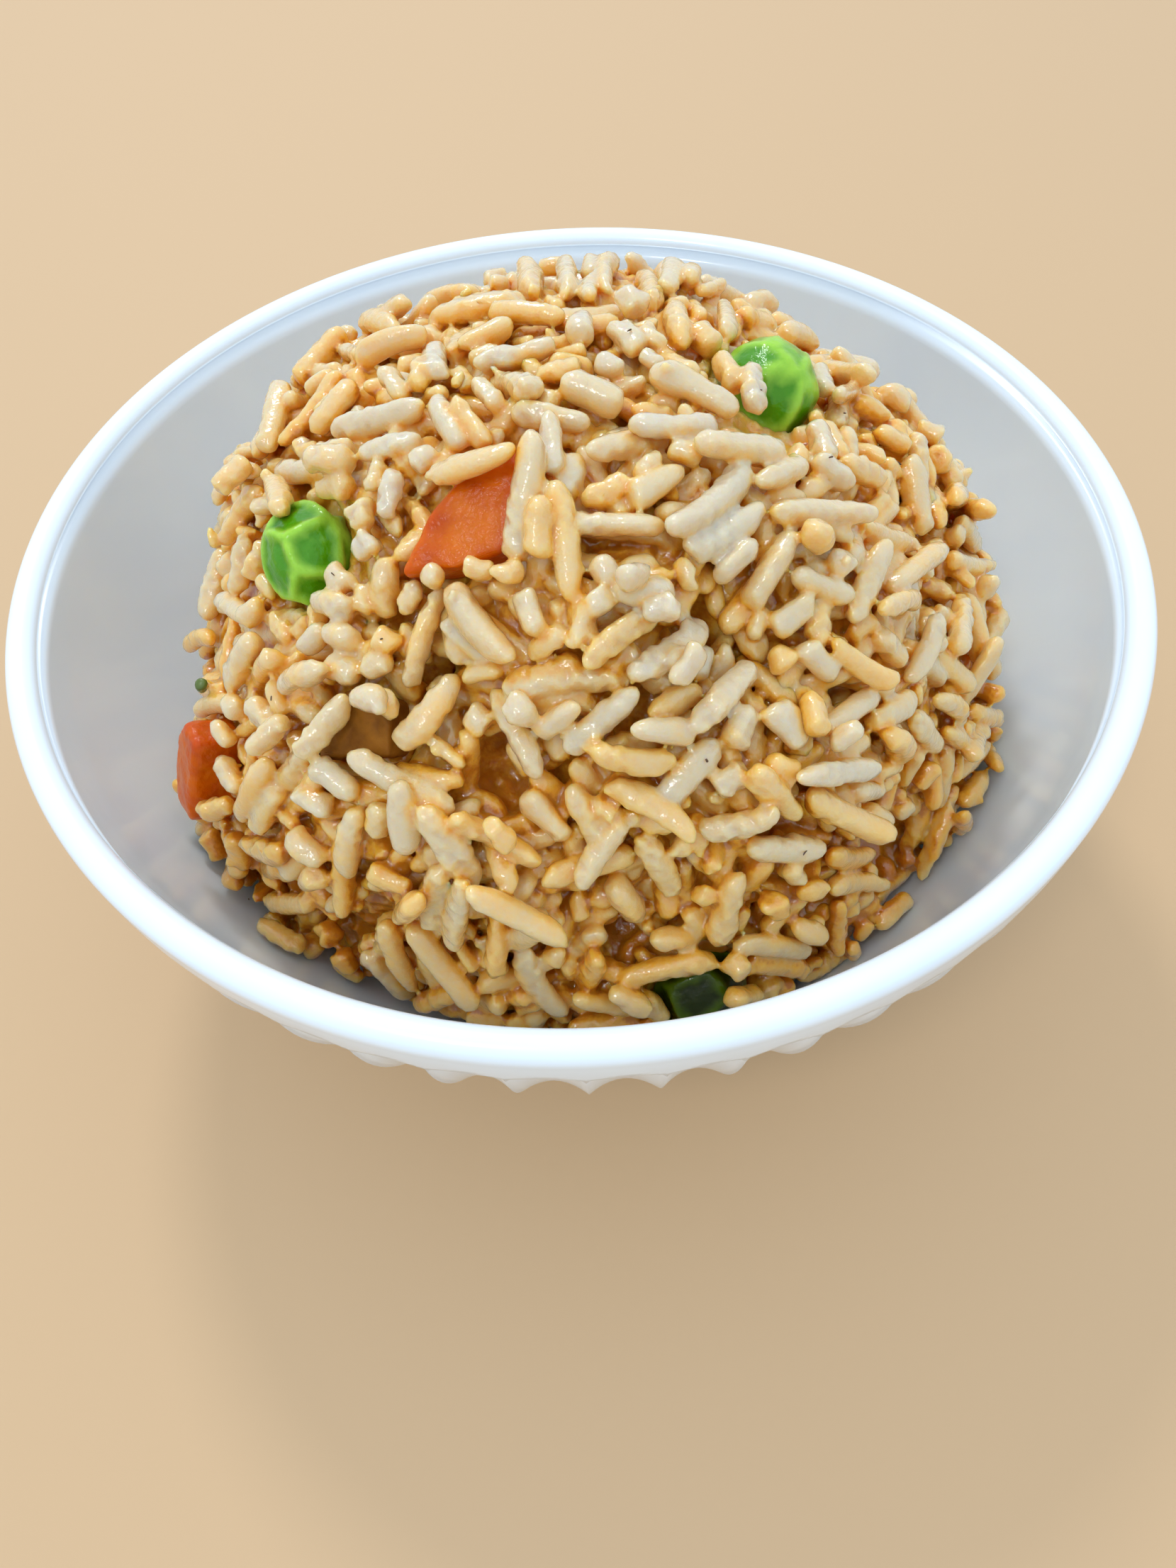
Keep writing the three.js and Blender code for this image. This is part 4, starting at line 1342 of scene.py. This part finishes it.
# ---------------------------------------------------------------------------------------------------
# Tiny dark flecks of pepper and burnt sauce stick to the rice, and a sliver of green bean lies in it at
# the left, by the wall.
# ---------------------------------------------------------------------------------------------------
FLECK_RADII = (0.05, 0.1)
FLECK_HALF_LENGTHS = (0.05, 0.22)
FLECK_COUNT = 32


def make_flecks():
    starts, ends, radii = [], [], []
    while len(radii) < FLECK_COUNT:
        on = draws.integers(whole_grains)
        place = heap.starts[on] + draws.random() * (heap.ends[on] - heap.starts[on])
        out = (place - HEAP_CENTRE) / np.linalg.norm(place - HEAP_CENTRE)
        radius = draws.uniform(*FLECK_RADII)
        place = place + out * heap.radii[on] * 0.95
        if not 0.3 < height_over_heap(place)[0] < 3 or touches_topping(place, place, radius):
            continue
        way = np.cross(out, draws.normal(size=3))
        way *= draws.uniform(*FLECK_HALF_LENGTHS) / np.linalg.norm(way)
        starts.append(place - way)
        ends.append(place + way)
        radii.append(radius)
    ragged = np.full(len(radii), 2.0)
    flecks = grain_mesh(np.array(starts), np.array(ends), np.array(radii), 6, 7, ragged)
    return mesh_object("pepper_flecks", *flecks)


def dark_fleck():
    pepper = Finish("pepper", {"Roughness": 0.5})
    pepper.tint(pepper.cloud(3000), [(0.0, (0.02, 0.012, 0.006)), (1.0, (0.16, 0.07, 0.02))])
    return pepper.material


flecks = make_flecks()
flecks.data.materials.append(dark_fleck())
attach(flecks, "root")


def bean_skin():
    skin = Finish("bean_skin", {"Roughness": 0.35})
    skin.tint(skin.cloud(900), [(0.0, (0.05, 0.08, 0.008)), (1.0, (0.16, 0.22, 0.03))])
    return skin.material


SLIVER_PLACE = (286, 967)
SLIVER_LIFT = 1.5
SLIVER_HALF_LENGTH = 0.75
SLIVER_RADIUS = 0.55
sliver_middle = seen_on_heap(*SLIVER_PLACE, SLIVER_LIFT)
sliver_way = np.array([0.25, -0.4, 0.9])
sliver_way *= SLIVER_HALF_LENGTH / np.linalg.norm(sliver_way)
sliver_start = (sliver_middle - sliver_way)[None]
sliver_end = (sliver_middle + sliver_way)[None]
sliver_mesh = grain_mesh(sliver_start, sliver_end, np.array([SLIVER_RADIUS]), 16, 14, np.array([1.0]))
sliver = mesh_object("bean_sliver", *sliver_mesh)
sliver.data.materials.append(bean_skin())
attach(sliver, "root")

# ---------------------------------------------------------------------------------------------------
# A pale floor and soft studio light: even light from the room, a window behind the bowl, a weaker one in
# front at the left, and a wide light overhead.
# ---------------------------------------------------------------------------------------------------
FLOOR_HALF_WIDTH = 900


def make_floor():
    half = FLOOR_HALF_WIDTH
    corners = [(-half, -half, 0), (half, -half, 0), (half, half, 0), (-half, half, 0)]
    floor = make_object("floor", corners, [(0, 1, 2, 3)])
    paint = Finish("pale_floor", {"Base Color": (0.61, 0.40, 0.215, 1), "Roughness": 0.6})
    floor.data.materials.append(paint.material)


def soft_light(name, place, aim, size, power, colour):
    lamp = bpy.data.objects.new(name, bpy.data.lights.new(name, "AREA"))
    bpy.context.collection.objects.link(lamp)
    lamp.data.shape = "DISK"
    lamp.data.size = size
    lamp.data.energy = power
    lamp.data.color = colour
    lamp.location = place
    lamp.rotation_mode = "QUATERNION"
    lamp.rotation_quaternion = (Vector(aim) - Vector(place)).to_track_quat("-Z", "Y")


make_floor()
heap_middle = tuple(HEAP_CENTRE * MM)
soft_light("window", (-0.15, 0.5, 0.7), heap_middle, 0.15, 1.9, (0.95, 0.975, 1.0))
soft_light("second_window", (-0.25, -0.35, 0.75), heap_middle, 0.15, 1.0, (0.93, 0.965, 1.0))
soft_light("ceiling", (0.0, 0.05, 0.95), heap_middle, 1.3, 1.2, (0.95, 0.975, 1.0))

world = bpy.data.worlds.new("room")
world.use_nodes = True
world.node_tree.nodes["Background"].inputs["Color"].default_value = (0.72, 0.85, 1.0, 1)
world.node_tree.nodes["Background"].inputs["Strength"].default_value = 1.12
bpy.context.scene.world = world
bpy.context.scene.view_settings.view_transform = "Standard"
